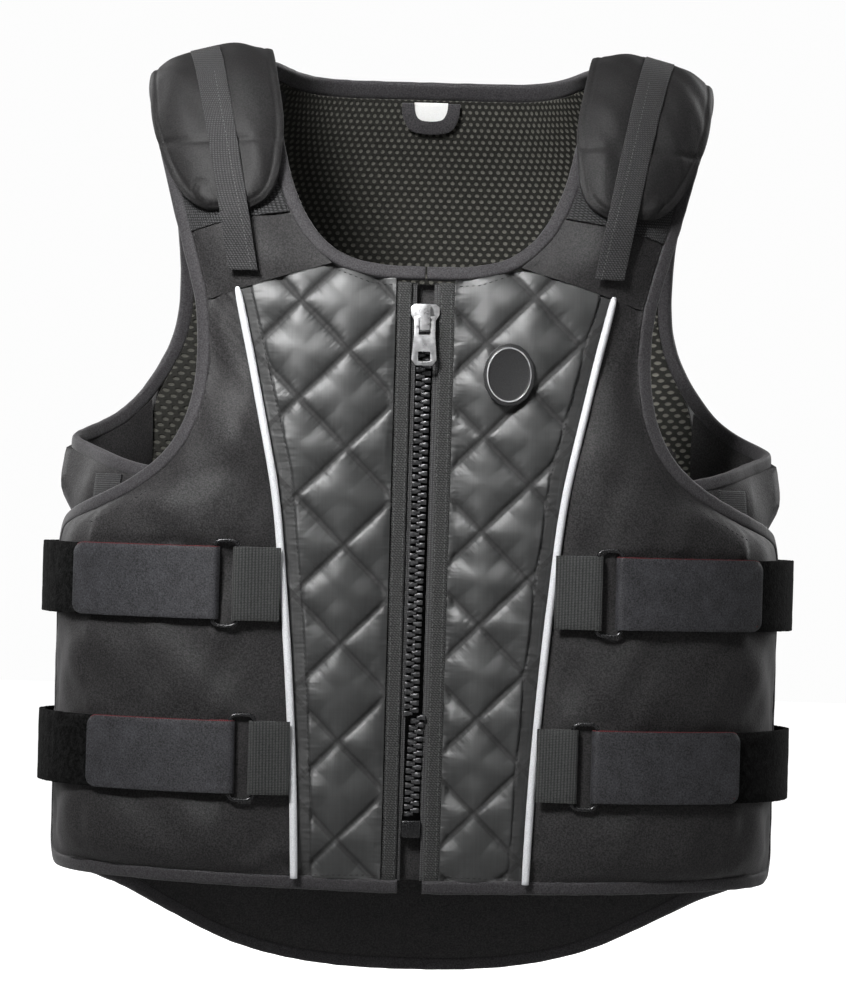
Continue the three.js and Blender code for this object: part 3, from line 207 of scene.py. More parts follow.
def spread(piece, values, rounds, least=False):
    """Each point's value drawn towards its neighbours' mean, or down to their least."""
    edges = np.empty(len(piece.data.edges) * 2, dtype=int)
    piece.data.edges.foreach_get("vertices", edges)
    a, b = edges.reshape(-1, 2).T
    for _ in range(rounds):
        if least:
            lower = values.copy()
            np.minimum.at(lower, a, values[b])
            np.minimum.at(lower, b, values[a])
            values = lower
        else:
            total, count = values.copy(), np.ones(len(values))
            np.add.at(total, a, values[b])
            np.add.at(total, b, values[a])
            np.add.at(count, a, 1)
            np.add.at(count, b, 1)
            values = total / count
    return values


def move_clear(piece, moves, others, gap=0.3 * MM, reach=8 * MM):
    """Moves the points, but stops short of the neighbouring pieces."""
    rest = points_of(piece)
    length = np.linalg.norm(moves, axis=1)
    room = np.full(len(rest), reach)
    for index in np.flatnonzero(length > 0.02 * MM):
        way = Vector(moves[index] / length[index])
        hit = others.ray_cast(Vector(rest[index]), way, reach + gap)
        if hit[0] is not None:
            room[index] = max(hit[3] - gap, 0)
    room = spread(piece, np.minimum(room, spread(piece, room, 2, least=True)), 3)
    share = np.minimum(1, room / np.maximum(length, 1e-9))
    move_points(piece, rest + moves * share[:, None])


def inflate(piece, sewn, others, pressure=4.0, cap=5 * MM, slack=0.03):
    """Cloth under the foam's pressure, held at its sewn points."""
    rest = points_of(piece)
    group = piece.vertex_groups.new(name="sewn")
    group.add([int(index) for index in sewn], 1.0, "REPLACE")
    only(piece)
    modifier = piece.modifiers.new("cloth", "CLOTH")
    cloth = modifier.settings
    cloth.quality = 4
    cloth.mass = 0.3
    cloth.tension_stiffness = 15
    cloth.compression_stiffness = 15
    cloth.shear_stiffness = 5
    cloth.bending_stiffness = 0.3
    cloth.vertex_group_mass = "sewn"
    cloth.use_pressure = True
    cloth.uniform_pressure_force = pressure
    cloth.shrink_min = -slack
    cloth.effector_weights.gravity = 0
    modifier.point_cache.frame_start = 1
    modifier.point_cache.frame_end = CLOTH_STEPS
    for step in range(1, CLOTH_STEPS + 1):
        scene.frame_set(step)
    bpy.ops.object.modifier_apply(modifier=modifier.name)
    scene.frame_set(1)
    moved = points_of(piece) - rest
    length = np.linalg.norm(moved, axis=1, keepdims=True)
    moved *= np.minimum(1, cap / np.maximum(length, 1e-9))
    for axis in range(3):
        moved[:, axis] = spread(piece, moved[:, axis], 6)
    moved[sewn] = 0
    move_points(piece, rest)
    move_clear(piece, moved, others)


def shade(piece, angle=None):
    only(piece)
    if angle:
        bpy.ops.object.shade_smooth_by_angle(angle=math.radians(angle))
    else:
        bpy.ops.object.shade_smooth()


def dress(piece, finish, slot, *nodes, body="vest"):
    piece.data.materials.clear()
    piece.data.materials.append(finish)
    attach(piece, body)
    if nodes:
        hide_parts(*nodes)
    return piece


# Sewn lines of the quilting: sums and differences of x and z on one crossing, and their pitch
QUILTING = {
    "left": {"sum": -0.1485, "difference": 0.2335, "pitch": 0.0643},
    "right": {"sum": -0.2500, "difference": 0.1465, "pitch": 0.0668},
}
# Places of the piping, across from the zip and down
PIPING_TABLE = [
    (0.128, -0.150), (0.128, -0.158), (0.116, -0.204), (0.097, -0.280), (0.088, -0.360),
    (0.082, -0.431), (0.078, -0.501), (0.076, -0.575),
]


# Finishes

def knot(tree, kind, inputs=None, **settings):
    made = tree.nodes.new(kind)
    for name, value in settings.items():
        setattr(made, name, value)
    for name, value in (inputs or {}).items():
        if isinstance(value, bpy.types.NodeSocket):
            tree.links.new(value, made.inputs[name])
        else:
            made.inputs[name].default_value = value
    return made


def sum_of(tree, operation, first, second=0.0, third=0.0):
    return knot(tree, "ShaderNodeMath", {0: first, 1: second, 2: third}, operation=operation).outputs[0]


def place(tree):
    return knot(tree, "ShaderNodeTexCoord").outputs["Object"]


def stretched(tree, x, y, z):
    return knot(tree, "ShaderNodeMapping", {"Vector": place(tree), "Scale": (x, y, z)}).outputs[0]


def grain(tree, size, detail=3.0, vector=None):
    vector = vector or place(tree)
    inputs = {"Vector": vector, "Scale": 1 / size, "Detail": detail}
    return knot(tree, "ShaderNodeTexNoise", inputs).outputs["Fac"]


def ribs(tree, length, pitch, turn=0.0):
    """Waves from 0 to 1 along a length."""
    angle = sum_of(tree, "MULTIPLY_ADD", length, 6.2832 / pitch, turn)
    return sum_of(tree, "MULTIPLY_ADD", sum_of(tree, "SINE", angle), 0.5, 0.5)


def tones(tree, factor, dark, light, low=0.3, high=0.7):
    ramp = knot(tree, "ShaderNodeValToRGB", {"Fac": factor})
    ramp.color_ramp.elements[0].position = low
    ramp.color_ramp.elements[0].color = (*dark, 1)
    ramp.color_ramp.elements[1].position = high
    ramp.color_ramp.elements[1].color = (*light, 1)
    return ramp.outputs[0]


def relief(tree, height, depth, strength=1.0, below=None):
    inputs = {"Height": height, "Distance": depth, "Strength": strength}
    if below:
        inputs["Normal"] = below
    return knot(tree, "ShaderNodeBump", inputs).outputs[0]


def finish(name, roughness, **sockets):
    material = bpy.data.materials.new(name)
    material.use_nodes = True
    shader = material.node_tree.nodes["Principled BSDF"]
    shader.inputs["Roughness"].default_value = roughness
    for socket, value in sockets.items():
        shader.inputs[socket.replace("_", " ")].default_value = value
    return material, material.node_tree, shader


def link(tree, socket, target):
    tree.links.new(socket, target)


def blend_by(tree, factor, first, second):
    made = knot(tree, "ShaderNodeMix", data_type="RGBA")
    tree.links.new(factor, made.inputs[0])
    for index, value in ((6, first), (7, second)):
        if isinstance(value, bpy.types.NodeSocket):
            tree.links.new(value, made.inputs[index])
        else:
            made.inputs[index].default_value = (*value, 1)
    return made.outputs[2]


def axes_of(tree):
    return knot(tree, "ShaderNodeSeparateXYZ", {0: place(tree)}).outputs


def girth_of(tree):
    """Length round the body, from its place."""
    x, y, _ = axes_of(tree)
    angle = sum_of(
        tree,
        "ARCTAN2",
        sum_of(tree, "MULTIPLY", x, 1 / FORM_WIDE),
        sum_of(tree, "MULTIPLY", y, -1 / FORM_DEEP),
    )
    return sum_of(tree, "MULTIPLY", angle, FORM_WIDE)


def brushed_cloth(name, tone=1.0):
    """Charcoal polyamide with a short nap: speckled, paler where the nap stands up. A tone below 1 darkens the whole
    copy, as painted shade.
    """
    material, tree, shader = finish(name, 0.62, Sheen_Weight=0.06 * tone, Sheen_Roughness=0.4)
    shader.inputs["Sheen Tint"].default_value = (0.75, 0.72, 0.76, 1)
    shader.inputs["Specular IOR Level"].default_value = 0.3
    nap = grain(tree, 1.1 * MM, 2.0)
    patches = grain(tree, 45 * MM, 2.0)
    dark, light, worn = (
        tuple(tone * share for share in color)
        for color in ((0.0062, 0.0058, 0.006), (0.036, 0.0342, 0.035), (0.013, 0.0125, 0.013)))
    fine = tones(tree, nap, dark, light, 0.36, 0.68)
    color = blend_by(tree, sum_of(tree, "MULTIPLY", patches, 0.4), fine, worn)
    link(tree, color, shader.inputs["Base Color"])
    wide = relief(tree, grain(tree, 9 * MM, 2.0), 0.5 * MM, 0.5)
    link(tree, relief(tree, nap, 0.3 * MM, 0.6, wide), shader.inputs["Normal"])
    return material


def sewn_gap(tree, total, first, pitch):
    """Distance from the nearest of the sewn lines that lie at a pitch."""
    turns = sum_of(tree, "MULTIPLY_ADD", total, 1 / pitch, 0.5 - first / pitch)
    off = sum_of(tree, "ABSOLUTE", sum_of(tree, "SUBTRACT", sum_of(tree, "FRACT", turns), 0.5))
    return sum_of(tree, "MULTIPLY", off, pitch / math.sqrt(2))


def fade(tree, value, near, far):
    """1 up to near, 0 from far on."""
    return knot(
        tree,
        "ShaderNodeMapRange",
        {"Value": value, "From Min": near, "From Max": far, "To Min": 1.0, "To Max": 0.0},
        interpolation_type="SMOOTHSTEP",
    ).outputs[0]


def satin(side):
    """Grey satin with fine warp threads; dark stitches with painted shade in their creases, and small gathers, along
    its sewn lines.
    """
    material, tree, shader = finish(f"quilted_satin_{side}", 0.54, Sheen_Weight=0.04)
    shader.inputs["Specular IOR Level"].default_value = 1.0
    warp = grain(tree, 0.9 * MM, 1.0, stretched(tree, 1.0, 0.05, 0.03))
    weft = grain(tree, 0.8 * MM, 1.0, stretched(tree, 0.03, 0.05, 1.0))
    threads = sum_of(tree, "ADD", sum_of(tree, "MULTIPLY", warp, 0.65), sum_of(tree, "MULTIPLY", weft, 0.35))
    cloth = tones(tree, threads, (0.010, 0.0106, 0.0106), (0.024, 0.025, 0.025), 0.3, 0.7)
    x, y, z = axes_of(tree)
    lines = QUILTING[side]
    total, rest = sum_of(tree, "ADD", x, z), sum_of(tree, "SUBTRACT", x, z)
    one = sewn_gap(tree, total, lines["sum"], lines["pitch"])
    two = sewn_gap(tree, rest, lines["difference"], lines["pitch"])
    seam, gathers = None, None
    edge = knot(tree, "ShaderNodeAttribute", attribute_name="seam").outputs["Fac"]
    # Each sewn line is painted as a dark band a few millimetres wide, frayed by noise: its dark stitches plus painted
    # shade in the crease the quilting presses along it.
    for gap, run in ((one, rest), (two, total)):
        narrowed = sum_of(tree, "SUBTRACT", gap, 0.5 * MM)
        frayed = sum_of(tree, "MULTIPLY_ADD", grain(tree, 1.8 * MM, 2.0), 1.0 * MM, narrowed)
        line = fade(tree, frayed, 1.2 * MM, 2.8 * MM)
        across = sum_of(tree, "MULTIPLY", gap, 0.3)
        along = knot(tree, "ShaderNodeCombineXYZ", {0: run, 1: across, 2: 0.0}).outputs[0]
        small = sum_of(
            tree, "MULTIPLY", grain(tree, 4.2 * MM, 1.0, along), fade(tree, gap, 1.0 * MM, 11 * MM))
        seam = sum_of(tree, "MAXIMUM", seam, line) if seam else line
        gathers = sum_of(tree, "ADD", gathers, small) if gathers else small
    # The marked strip beside the piping joins them: its stitch row, and painted shade over the sunk strip.
    seam = sum_of(tree, "MAXIMUM", seam, edge)
    beside = knot(tree, "ShaderNodeAttribute", attribute_name="gathered").outputs["Fac"]
    across = sum_of(tree, "MULTIPLY", x, 0.25)
    pleats = knot(tree, "ShaderNodeCombineXYZ", {0: z, 1: across, 2: 0.0}).outputs[0]
    deep = sum_of(tree, "MULTIPLY", beside, 2.4)
    gathers = sum_of(tree, "ADD", gathers, sum_of(tree, "MULTIPLY", grain(tree, 4.4 * MM, 1.0, pleats), deep))
    # Dark tone of the stitches, also used as the painted shade in the creases.
    stitch_and_crease_shade = tones(tree, grain(tree, 1.1 * MM, 2.0), (0.002, 0.002, 0.002), (0.012, 0.012, 0.012), 0.42, 0.75)
    link(tree, blend_by(tree, seam, cloth, stitch_and_crease_shade), shader.inputs["Base Color"])
    rough = sum_of(tree, "MULTIPLY_ADD", seam, 0.3, 0.54)
    link(tree, rough, shader.inputs["Roughness"])
    bulk = relief(tree, gathers, 1.2 * MM, 0.5)
    link(tree, relief(tree, threads, 0.05 * MM, 0.4, bulk), shader.inputs["Normal"])
    return material


def binding_tape():
    material, tree, shader = finish("binding_tape", 0.72, Sheen_Weight=0.15, Sheen_Roughness=0.5)
    shader.inputs["Specular IOR Level"].default_value = 0.35
    loops = grain(tree, 1.0 * MM, 2.0)
    color = tones(tree, loops, (0.013, 0.012, 0.0133), (0.050, 0.047, 0.051), 0.34, 0.7)
    link(tree, color, shader.inputs["Base Color"])
    wide = relief(tree, grain(tree, 6 * MM, 2.0), 0.4 * MM, 0.5)
    link(tree, relief(tree, loops, 0.2 * MM, 0.6, wide), shader.inputs["Normal"])
    return material


def woven(name, dark, light, pitch, rough=0.75, slant=0.0):
    """Webbing: warp ribs along it, crossed by the weft."""
    material, tree, shader = finish(name, rough, Sheen_Weight=0.08)
    shader.inputs["Specular IOR Level"].default_value = 0.35
    x, y, z = axes_of(tree)
    along = girth_of(tree)
    leaning = sum_of(tree, "MULTIPLY_ADD", z, slant, along)
    weave = sum_of(
        tree, "MULTIPLY", ribs(tree, leaning, pitch), ribs(tree, z, pitch * 0.8))
    speckle = grain(tree, 0.9 * MM, 2.0)
    mixed = sum_of(tree, "MULTIPLY_ADD", weave, 0.55, sum_of(tree, "MULTIPLY", speckle, 0.55))
    link(tree, tones(tree, mixed, dark, light, 0.22, 0.7), shader.inputs["Base Color"])
    link(tree, relief(tree, mixed, 0.35 * MM, 0.7), shader.inputs["Normal"])
    return material


def loop_pile():
    """Brushed black loop pile."""
    material, tree, shader = finish("loop_pile", 0.95)
    shader.inputs["Specular IOR Level"].default_value = 0.08
    fuzz = grain(tree, 1.6 * MM, 4.0)
    tufts = grain(tree, 4.5 * MM, 3.0)
    both = sum_of(tree, "MULTIPLY_ADD", tufts, 0.5, sum_of(tree, "MULTIPLY", fuzz, 0.5))
    color = tones(tree, both, (0.001, 0.001, 0.001), (0.0105, 0.0107, 0.0105), 0.42, 0.66)
    link(tree, color, shader.inputs["Base Color"])
    link(tree, relief(tree, both, 1.2 * MM, 0.9), shader.inputs["Normal"])
    return material


def suede():
    material, tree, shader = finish("suede_tab", 0.62, Sheen_Weight=0.07, Sheen_Roughness=0.4)
    shader.inputs["Specular IOR Level"].default_value = 0.4
    nap = grain(tree, 1.05 * MM, 3.0)
    patches = grain(tree, 14 * MM, 3.0)
    mixed = sum_of(tree, "MULTIPLY_ADD", patches, 0.25, sum_of(tree, "MULTIPLY", nap, 0.75))
    color = tones(tree, mixed, (0.005, 0.005, 0.0056), (0.050, 0.050, 0.057), 0.36, 0.68)
    link(tree, color, shader.inputs["Base Color"])
    link(tree, relief(tree, nap, 0.3 * MM, 0.6), shader.inputs["Normal"])
    return material


def knitted_mesh(name="knitted_mesh", pitch_x=7.0, pitch_z=4.2):
    """Spacer mesh: staggered oval holes through which the paler inner layer shows, with painted light on it that
    grows towards +X.
    """
    material, tree, shader = finish(name, 0.8)
    shader.inputs["Specular IOR Level"].default_value = 0.3
    cloth = knot(tree, "ShaderNodeUVMap", uv_map="cloth").outputs[0]
    u, v, _ = knot(tree, "ShaderNodeSeparateXYZ", {0: cloth}).outputs
    rows = sum_of(tree, "MULTIPLY", v, 1 / (pitch_z * MM))
    odd = sum_of(tree, "MULTIPLY", sum_of(tree, "FLOORED_MODULO", sum_of(tree, "FLOOR", rows), 2.0), 0.5)
    columns = sum_of(tree, "MULTIPLY_ADD", u, 1 / (pitch_x * MM), odd)
    across = sum_of(tree, "MULTIPLY", sum_of(tree, "SUBTRACT", sum_of(tree, "FRACT", columns), 0.5), pitch_x / 1.9)
    up = sum_of(tree, "MULTIPLY", sum_of(tree, "SUBTRACT", sum_of(tree, "FRACT", rows), 0.5), pitch_z / 1.35)
    reach = sum_of(
        tree, "ADD", sum_of(tree, "MULTIPLY", across, across), sum_of(tree, "MULTIPLY", up, up))
    hole = knot(
        tree,
        "ShaderNodeMapRange",
        {"Value": reach, "From Min": 0.55, "From Max": 1.35, "To Min": 1.0, "To Max": 0.0},
    ).outputs[0]
    x, y, z = axes_of(tree)
    # Painted light: the inner layer is painted brighter towards +X, the wearer's left.
    painted_light = knot(
        tree,
        "ShaderNodeMapRange",
        {"Value": x, "From Min": -0.12, "From Max": 0.16, "To Min": 0.25, "To Max": 1.0},
    ).outputs[0]
    inner = blend_by(tree, painted_light, (0.030, 0.030, 0.025), (0.125, 0.122, 0.105))
    yarn = tones(tree, grain(tree, 1.2 * MM, 2.0), (0.0065, 0.0065, 0.005), (0.016, 0.0155, 0.0125))
    link(tree, blend_by(tree, hole, yarn, inner), shader.inputs["Base Color"])
    flat = sum_of(tree, "SUBTRACT", 1.0, hole)
    link(tree, relief(tree, flat, 0.9 * MM, 0.8), shader.inputs["Normal"])
    return material


def reflective_piping():
    material, tree, shader = finish("reflective_piping", 0.42, Sheen_Weight=0.2)
    weave = grain(tree, 0.8 * MM, 2.0)
    link(tree, tones(tree, weave, (0.55, 0.56, 0.58), (0.70, 0.71, 0.73)), shader.inputs["Base Color"])
    link(tree, relief(tree, weave, 0.1 * MM, 0.4), shader.inputs["Normal"])
    return material


def metal(name, dark, light, roughness, wear):
    material, tree, shader = finish(name, roughness, Metallic=0.9)
    spots = grain(tree, wear, 4.0)
    link(tree, tones(tree, spots, dark, light, 0.3, 0.75), shader.inputs["Base Color"])
    rough = sum_of(tree, "MULTIPLY_ADD", spots, 0.22, roughness - 0.1)
    link(tree, rough, shader.inputs["Roughness"])
    link(tree, relief(tree, spots, 0.05 * MM, 0.4), shader.inputs["Normal"])
    return material


def moulding(name, dark, light, roughness, size):
    """Moulded plastic or rubber, with a fine leathery skin."""
    material, tree, shader = finish(name, roughness)
    skin = grain(tree, size, 3.0)
    link(tree, tones(tree, skin, dark, light), shader.inputs["Base Color"])
    link(tree, sum_of(tree, "MULTIPLY_ADD", skin, 0.2, roughness - 0.1), shader.inputs["Roughness"])
    link(tree, relief(tree, skin, 0.06 * MM, 0.5), shader.inputs["Normal"])
    return material


def patch_rubber():
    """Dark rubber with one thin pale line inside its rim."""
    material, tree, shader = finish("patch_rubber", 0.45)
    low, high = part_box("badge_patch")
    middle, half = (low + high) / 2, (high - low) / 2
    x, _, z = axes_of(tree)
    across = sum_of(tree, "MULTIPLY", sum_of(tree, "SUBTRACT", x, middle.x), 1 / half.x)
    up = sum_of(tree, "MULTIPLY", sum_of(tree, "SUBTRACT", z, middle.z), 1 / half.z)
    reach = sum_of(
        tree, "SQRT", sum_of(tree, "ADD", sum_of(tree, "MULTIPLY", across, across), sum_of(tree, "MULTIPLY", up, up)))
    from_line = sum_of(tree, "ABSOLUTE", sum_of(tree, "SUBTRACT", reach, 0.84))
    line = knot(
        tree,
        "ShaderNodeMapRange",
        {"Value": from_line, "From Min": 0.012, "From Max": 0.028, "To Min": 1.0, "To Max": 0.0},
    ).outputs[0]
    skin = grain(tree, 0.8 * MM, 3.0)
    face = tones(tree, skin, (0.011, 0.011, 0.0115), (0.024, 0.024, 0.025))
    link(tree, blend_by(tree, line, face, (0.38, 0.38, 0.39)), shader.inputs["Base Color"])
    link(tree, relief(tree, skin, 0.06 * MM, 0.5), shader.inputs["Normal"])
    return material


SHELL = brushed_cloth("brushed_cloth")
# The shoulder flaps get the shell cloth darkened to 0.55: painted shade on their upward faces.
FLAP_CLOTH_PAINTED_SHADE = brushed_cloth("flap_cloth_painted_shade", 0.55)
SATIN = {side: satin(side) for side in SIDES}
TAPE = binding_tape()
WEBBING = woven("strap_webbing", (0.009, 0.0095, 0.0093), (0.058, 0.060, 0.059), 1.35 * MM)
GROSGRAIN = woven("grosgrain", (0.004, 0.004, 0.0042), (0.055, 0.054, 0.056), 1.9 * MM, slant=0.6)
PLACKET = woven("placket_tape", (0.004, 0.0041, 0.004), (0.060, 0.061, 0.060), 2.0 * MM, slant=1.0)
ZIP_TAPE = woven("zip_tape_weave", (0.016, 0.016, 0.0165), (0.075, 0.075, 0.076), 1.6 * MM)
LOOP_FACE = woven("loop_face", (0.002, 0.002, 0.0021), (0.056, 0.056, 0.058), 2.3 * MM, rough=0.9, slant=0.7)
PILE = loop_pile()
SUEDE = suede()
MESH = knitted_mesh()
PIPING = reflective_piping()
TEETH = metal("zip_teeth_metal", (0.06, 0.06, 0.062), (0.16, 0.16, 0.165), 0.34, 2.5 * MM)
SILVER = metal("slider_silver", (0.48, 0.48, 0.49), (0.74, 0.74, 0.75), 0.3, 3 * MM)
BLACK = moulding("glossy_black", (0.006, 0.006, 0.0065), (0.016, 0.016, 0.017), 0.26, 1.2 * MM)
PATCH = patch_rubber()
LABEL = woven("label_weave", (0.72, 0.72, 0.71), (0.86, 0.86, 0.85), 0.7 * MM)
RED = woven("red_lining", (0.05, 0.008, 0.010), (0.13, 0.018, 0.022), 1.0 * MM)
THREAD = moulding("sewing_thread", (0.006, 0.006, 0.0065), (0.022, 0.021, 0.022), 0.6, 0.6 * MM)
GREY_THREAD = moulding("grey_thread", (0.030, 0.030, 0.031), (0.075, 0.075, 0.076), 0.55, 0.6 * MM)
PALE_THREAD = moulding("pale_thread", (0.05, 0.05, 0.05), (0.12, 0.12, 0.12), 0.6, 0.6 * MM)


# Padded pieces

def even_out(piece):
    """Levels the front face between its sewn edges."""
    rim = set(rim_points(piece).tolist())
    only(piece)
    bpy.ops.object.mode_set(mode="EDIT")
    bpy.ops.mesh.select_mode(type="VERT")
    bpy.ops.mesh.select_all(action="DESELECT")
    bpy.ops.object.mode_set(mode="OBJECT")
    for vertex in piece.data.vertices:
        vertex.select = vertex.index not in rim and vertex.normal.y < -0.4
    bpy.ops.object.mode_set(mode="EDIT")
    bpy.ops.mesh.vertices_smooth(factor=0.5, repeat=12, xaxis=False, zaxis=False)
    bpy.ops.object.mode_set(mode="OBJECT")


def pad(
    node, name, levels=2, fine=1, pressure=4.0, cap=4 * MM, slack=0.03, level_front=False, grown=0.35 * MM,
):
    """A foam piece in its cloth: the wall's rim is sewn, the faces swell and pull."""
    piece = copy_node(node, name)
    others = neighbours(node)
    fatten(piece, grown)
    crease(piece)
    if level_front:
        even_out(piece)
    subdivide(piece, levels)
    rim = rim_points(piece)
    inflate(piece, rim, others, pressure, cap, slack)
    edge = points_of(piece)[rim]
    if fine:
        subdivide(piece, fine)
    free = distance_to(points_of(piece), edge)
    return piece, free, others


def outer_share(piece):
    spots = points_of(piece)
    facing = (normals_of(piece) * away_from_body(spots)).sum(axis=1)
    return smoothstep((facing - 0.1) / 0.4)


def to_line(value, first, pitch):
    return (value - first + pitch / 2) % pitch - pitch / 2


def quilt(side):
    node = f"quilted_panel_{side}"
    piece, free, others = pad(node, f"quilted_pad_{side}", 2, 1, 3.0, 2 * MM, level_front=True)
    only(piece)
    bpy.ops.object.mode_set(mode="EDIT")
    bpy.ops.mesh.select_mode(type="FACE")
    bpy.ops.mesh.select_all(action="DESELECT")
    bpy.ops.object.mode_set(mode="OBJECT")
    for face in piece.data.polygons:
        face.select = face.normal.y < -0.4
    bpy.ops.object.mode_set(mode="EDIT")
    bpy.ops.mesh.subdivide(number_cuts=1, smoothness=0)
    bpy.ops.object.mode_set(mode="OBJECT")
    spots = points_of(piece)
    sign = SIDES[side]
    x, z = spots[:, 0], spots[:, 2]
    lines = QUILTING[side]
    one = to_line(x + z, lines["sum"], lines["pitch"]) / math.sqrt(2)
    two = to_line(x - z, lines["difference"], lines["pitch"]) / math.sqrt(2)
    steep = 1.0
    for gap in (one, two):
        steep = steep * (1 - np.exp(-np.abs(gap / (8 * MM)) ** 1.4))
    across = lines["pitch"] / math.sqrt(2)
    dome = np.cos(math.pi * one / across) * np.cos(math.pi * two / across)
    height = 4.6 * MM * steep + 2.0 * MM * dome - 3.4 * MM
    height = height + 0.45 * MM * steep * folds((0.5 * x + z) / (42 * MM), (z - 0.3 * x) / (60 * MM))
    for gap, run in ((one, x - z), (two, x + z)):
        near = np.abs(gap)
        height = height + 0.25 * MM * np.exp(-near / (14 * MM)) * folds(run / (27 * MM), gap / (60 * MM))
        height = height - 1.1 * MM * np.exp(-(near / (2.0 * MM)) ** 2)
    # a sewn edge beside the piping, gathered into small puckers
    line_x = np.interp(-z, [-row[1] for row in PIPING_TABLE], [row[0] for row in PIPING_TABLE])
    strip = line_x - sign * x - 2.5 * MM
    at_strip = np.exp(-np.abs((strip - 6 * MM) / (1.1 * MM)) ** 2)
    within = smoothstep((7 * MM - strip) / (2 * MM))
    height = height * (1 - within) - 1.6 * MM * within
    height = height - 0.8 * MM * at_strip
    # puckers along the placket
    start = sign * x - 20 * MM
    height = height * smoothstep(start / (7 * MM) + 0.15)
    height = height * smoothstep(z / (-10 * MM) - 12.4)
    outer = outer_share(piece)
    outer = outer * (spots[:, 1] < -0.055)
    move_clear(piece, away_from_body(spots) * (height * outer)[:, None], others)
    # The "seam" mark darkens the stitch row beside the piping, and darkens the sunk strip next to the piping less, as
    # painted shade.
    sewn = np.maximum(0.8 * np.exp(-((strip - 5.6 * MM) / (1.3 * MM)) ** 2), 0.6 * within * (strip > -1 * MM))
    mark(piece, "seam", sewn * outer)
    beside = np.exp(-np.abs(strip - 5 * MM) / (5 * MM)) + np.exp(-np.maximum(start, 0) / (6 * MM))
    mark(piece, "gathered", np.clip(beside, 0, 1))
    shade(piece)
    dress(piece, SATIN[side], "satin", node)
    return piece


def plain(node, name, levels, fine, slot="shell", fold=0.9, cap=4 * MM, grown=0.35 * MM):
    """Plain foam piece: its cloth lies in wide shallow folds."""
    piece, free, others = pad(node, name, levels, fine, 4.0, cap, grown=grown)
    spots = points_of(piece)
    x, y, z = spots.T
    across = np.where(np.abs(y) > np.abs(x) * 0.35, x, y)
    soft = folds((across * 0.8 + z) / (74 * MM), (across - z) / (160 * MM))
    soft = soft + 0.5 * folds((across - 0.5 * z) / (41 * MM), z / (90 * MM))
    tug = folds((across + z) / (9 * MM), free / (30 * MM)) * np.exp(-free / (9 * MM)) * 0.25
    height = fold * MM * (soft * smoothstep(free / (16 * MM)) + tug)
    outer = outer_share(piece)
    move_clear(piece, away_from_body(spots) * (height * outer)[:, None], others)
    shade(piece, 45)
    dress(piece, SHELL, slot, node)
    return piece


quilts = {side: quilt(side) for side in SIDES}
panels = {side: plain(f"front_panel_{side}", f"front_pad_{side}", 2, 1, fold=1.3) for side in SIDES}
yokes = {side: plain(f"yoke_{side}", f"yoke_pad_{side}", 2, 1, fold=0.5) for side in SIDES}
for side in SIDES:
    plain(f"side_wing_{side}", f"wing_pad_{side}", 2, 0, fold=0.7, grown=0.8 * MM)
back = plain("back_panel", "back_pad", 2, 1, fold=1.2, grown=0.8 * MM)


def shoulder_flap(side):
    """Closing flap: raised middle, flat sewn sides, one seam across it."""
    piece, free, others = pad(f"shoulder_flap_{side}", f"flap_pad_{side}", 2, 1, 4.0, 2.5 * MM)
    spots = points_of(piece)
    y, z = spots[:, 1], spots[:, 2]
    outer = outer_share(piece)
    front = y < 0
    seam = np.abs(z + 0.055 + 0.05 * (np.abs(spots[:, 0]) - 0.15)) / (2.2 * MM)
    height = -1.3 * MM * np.exp(-seam ** 2) * front
    height = height - 0.7 * MM * np.exp(-((free - 5.5 * MM) / (1.2 * MM)) ** 2)
    soft = folds((spots[:, 0] + y) / (38 * MM), z / (60 * MM))
    height = height + 0.6 * MM * soft * smoothstep(free / (12 * MM))
    move_clear(piece, away_from_body(spots) * (height * outer)[:, None], others)
    shade(piece, 60)
    # The darkened copy of the shell cloth: painted shade on the flap.
    dress(piece, FLAP_CLOTH_PAINTED_SHADE, "shell", f"shoulder_flap_{side}")
    return piece


for side in SIDES:
    shoulder_flap(side)


# Edge bindings, tapes and sheets

def round_binding(node, name):
    """Tape folded round an edge: a soft roll, a little uneven along its length."""
    piece = copy_node(node, name)
    fatten(piece, 1.5 * MM)
    crease(piece, 70, 0.3)
    subdivide(piece, 3)
    spots = points_of(piece)
    if node.startswith("neck"):
        # the two halves meet over the top of the zip
        inner = np.abs(spots[:, 0])
        reach = smoothstep(1 - (inner - inner.min()) / (22 * MM))
        spots = spots - np.outer(reach * np.sign(spots[:, 0]) * (inner.min() - 0.6 * MM), [1, 0, 0])
    wave = folds((spots[:, 0] + spots[:, 1]) / (23 * MM), spots[:, 2] / (17 * MM))
    move_points(piece, spots + normals_of(piece) * (0.16 * MM * wave)[:, None])
    shade(piece)
    return dress(piece, TAPE, "trim", node)


bindings = {}
for side in SIDES:
    for part in ("neck_binding", "front_binding", "back_arm_binding"):
        bindings[f"{part}_{side}"] = round_binding(f"{part}_{side}", f"{part}_roll_{side}")
for part in ("back_neck_binding", "tail_binding"):
    bindings[part] = round_binding(part, f"{part}_roll")


def flat_tape(node, name, look, slot, levels=2, bevel=0.35 * MM):
    """Flat tape or strap with a soft edge."""
    piece = copy_node(node, name)
    crease(piece)
    subdivide(piece, levels)
    if bevel:
        apply(piece, "BEVEL", width=bevel, segments=2, limit_method="ANGLE", angle_limit=math.radians(50))
    shade(piece, 40)
    return dress(piece, look, slot, node)


def arc_lengths():
    """Length round the form from the middle, against the turn round it."""
    turns = np.linspace(0, math.pi / 2, 181)
    x = FORM_WIDE * np.sin(turns) ** (2 / 2.4)
    y = FORM_DEEP * np.cos(turns) ** (2 / 2.4)
    steps = np.hypot(np.diff(x), np.diff(y))
    return np.arctan2(x / FORM_WIDE, y / FORM_DEEP), np.concatenate([[0], np.cumsum(steps)])


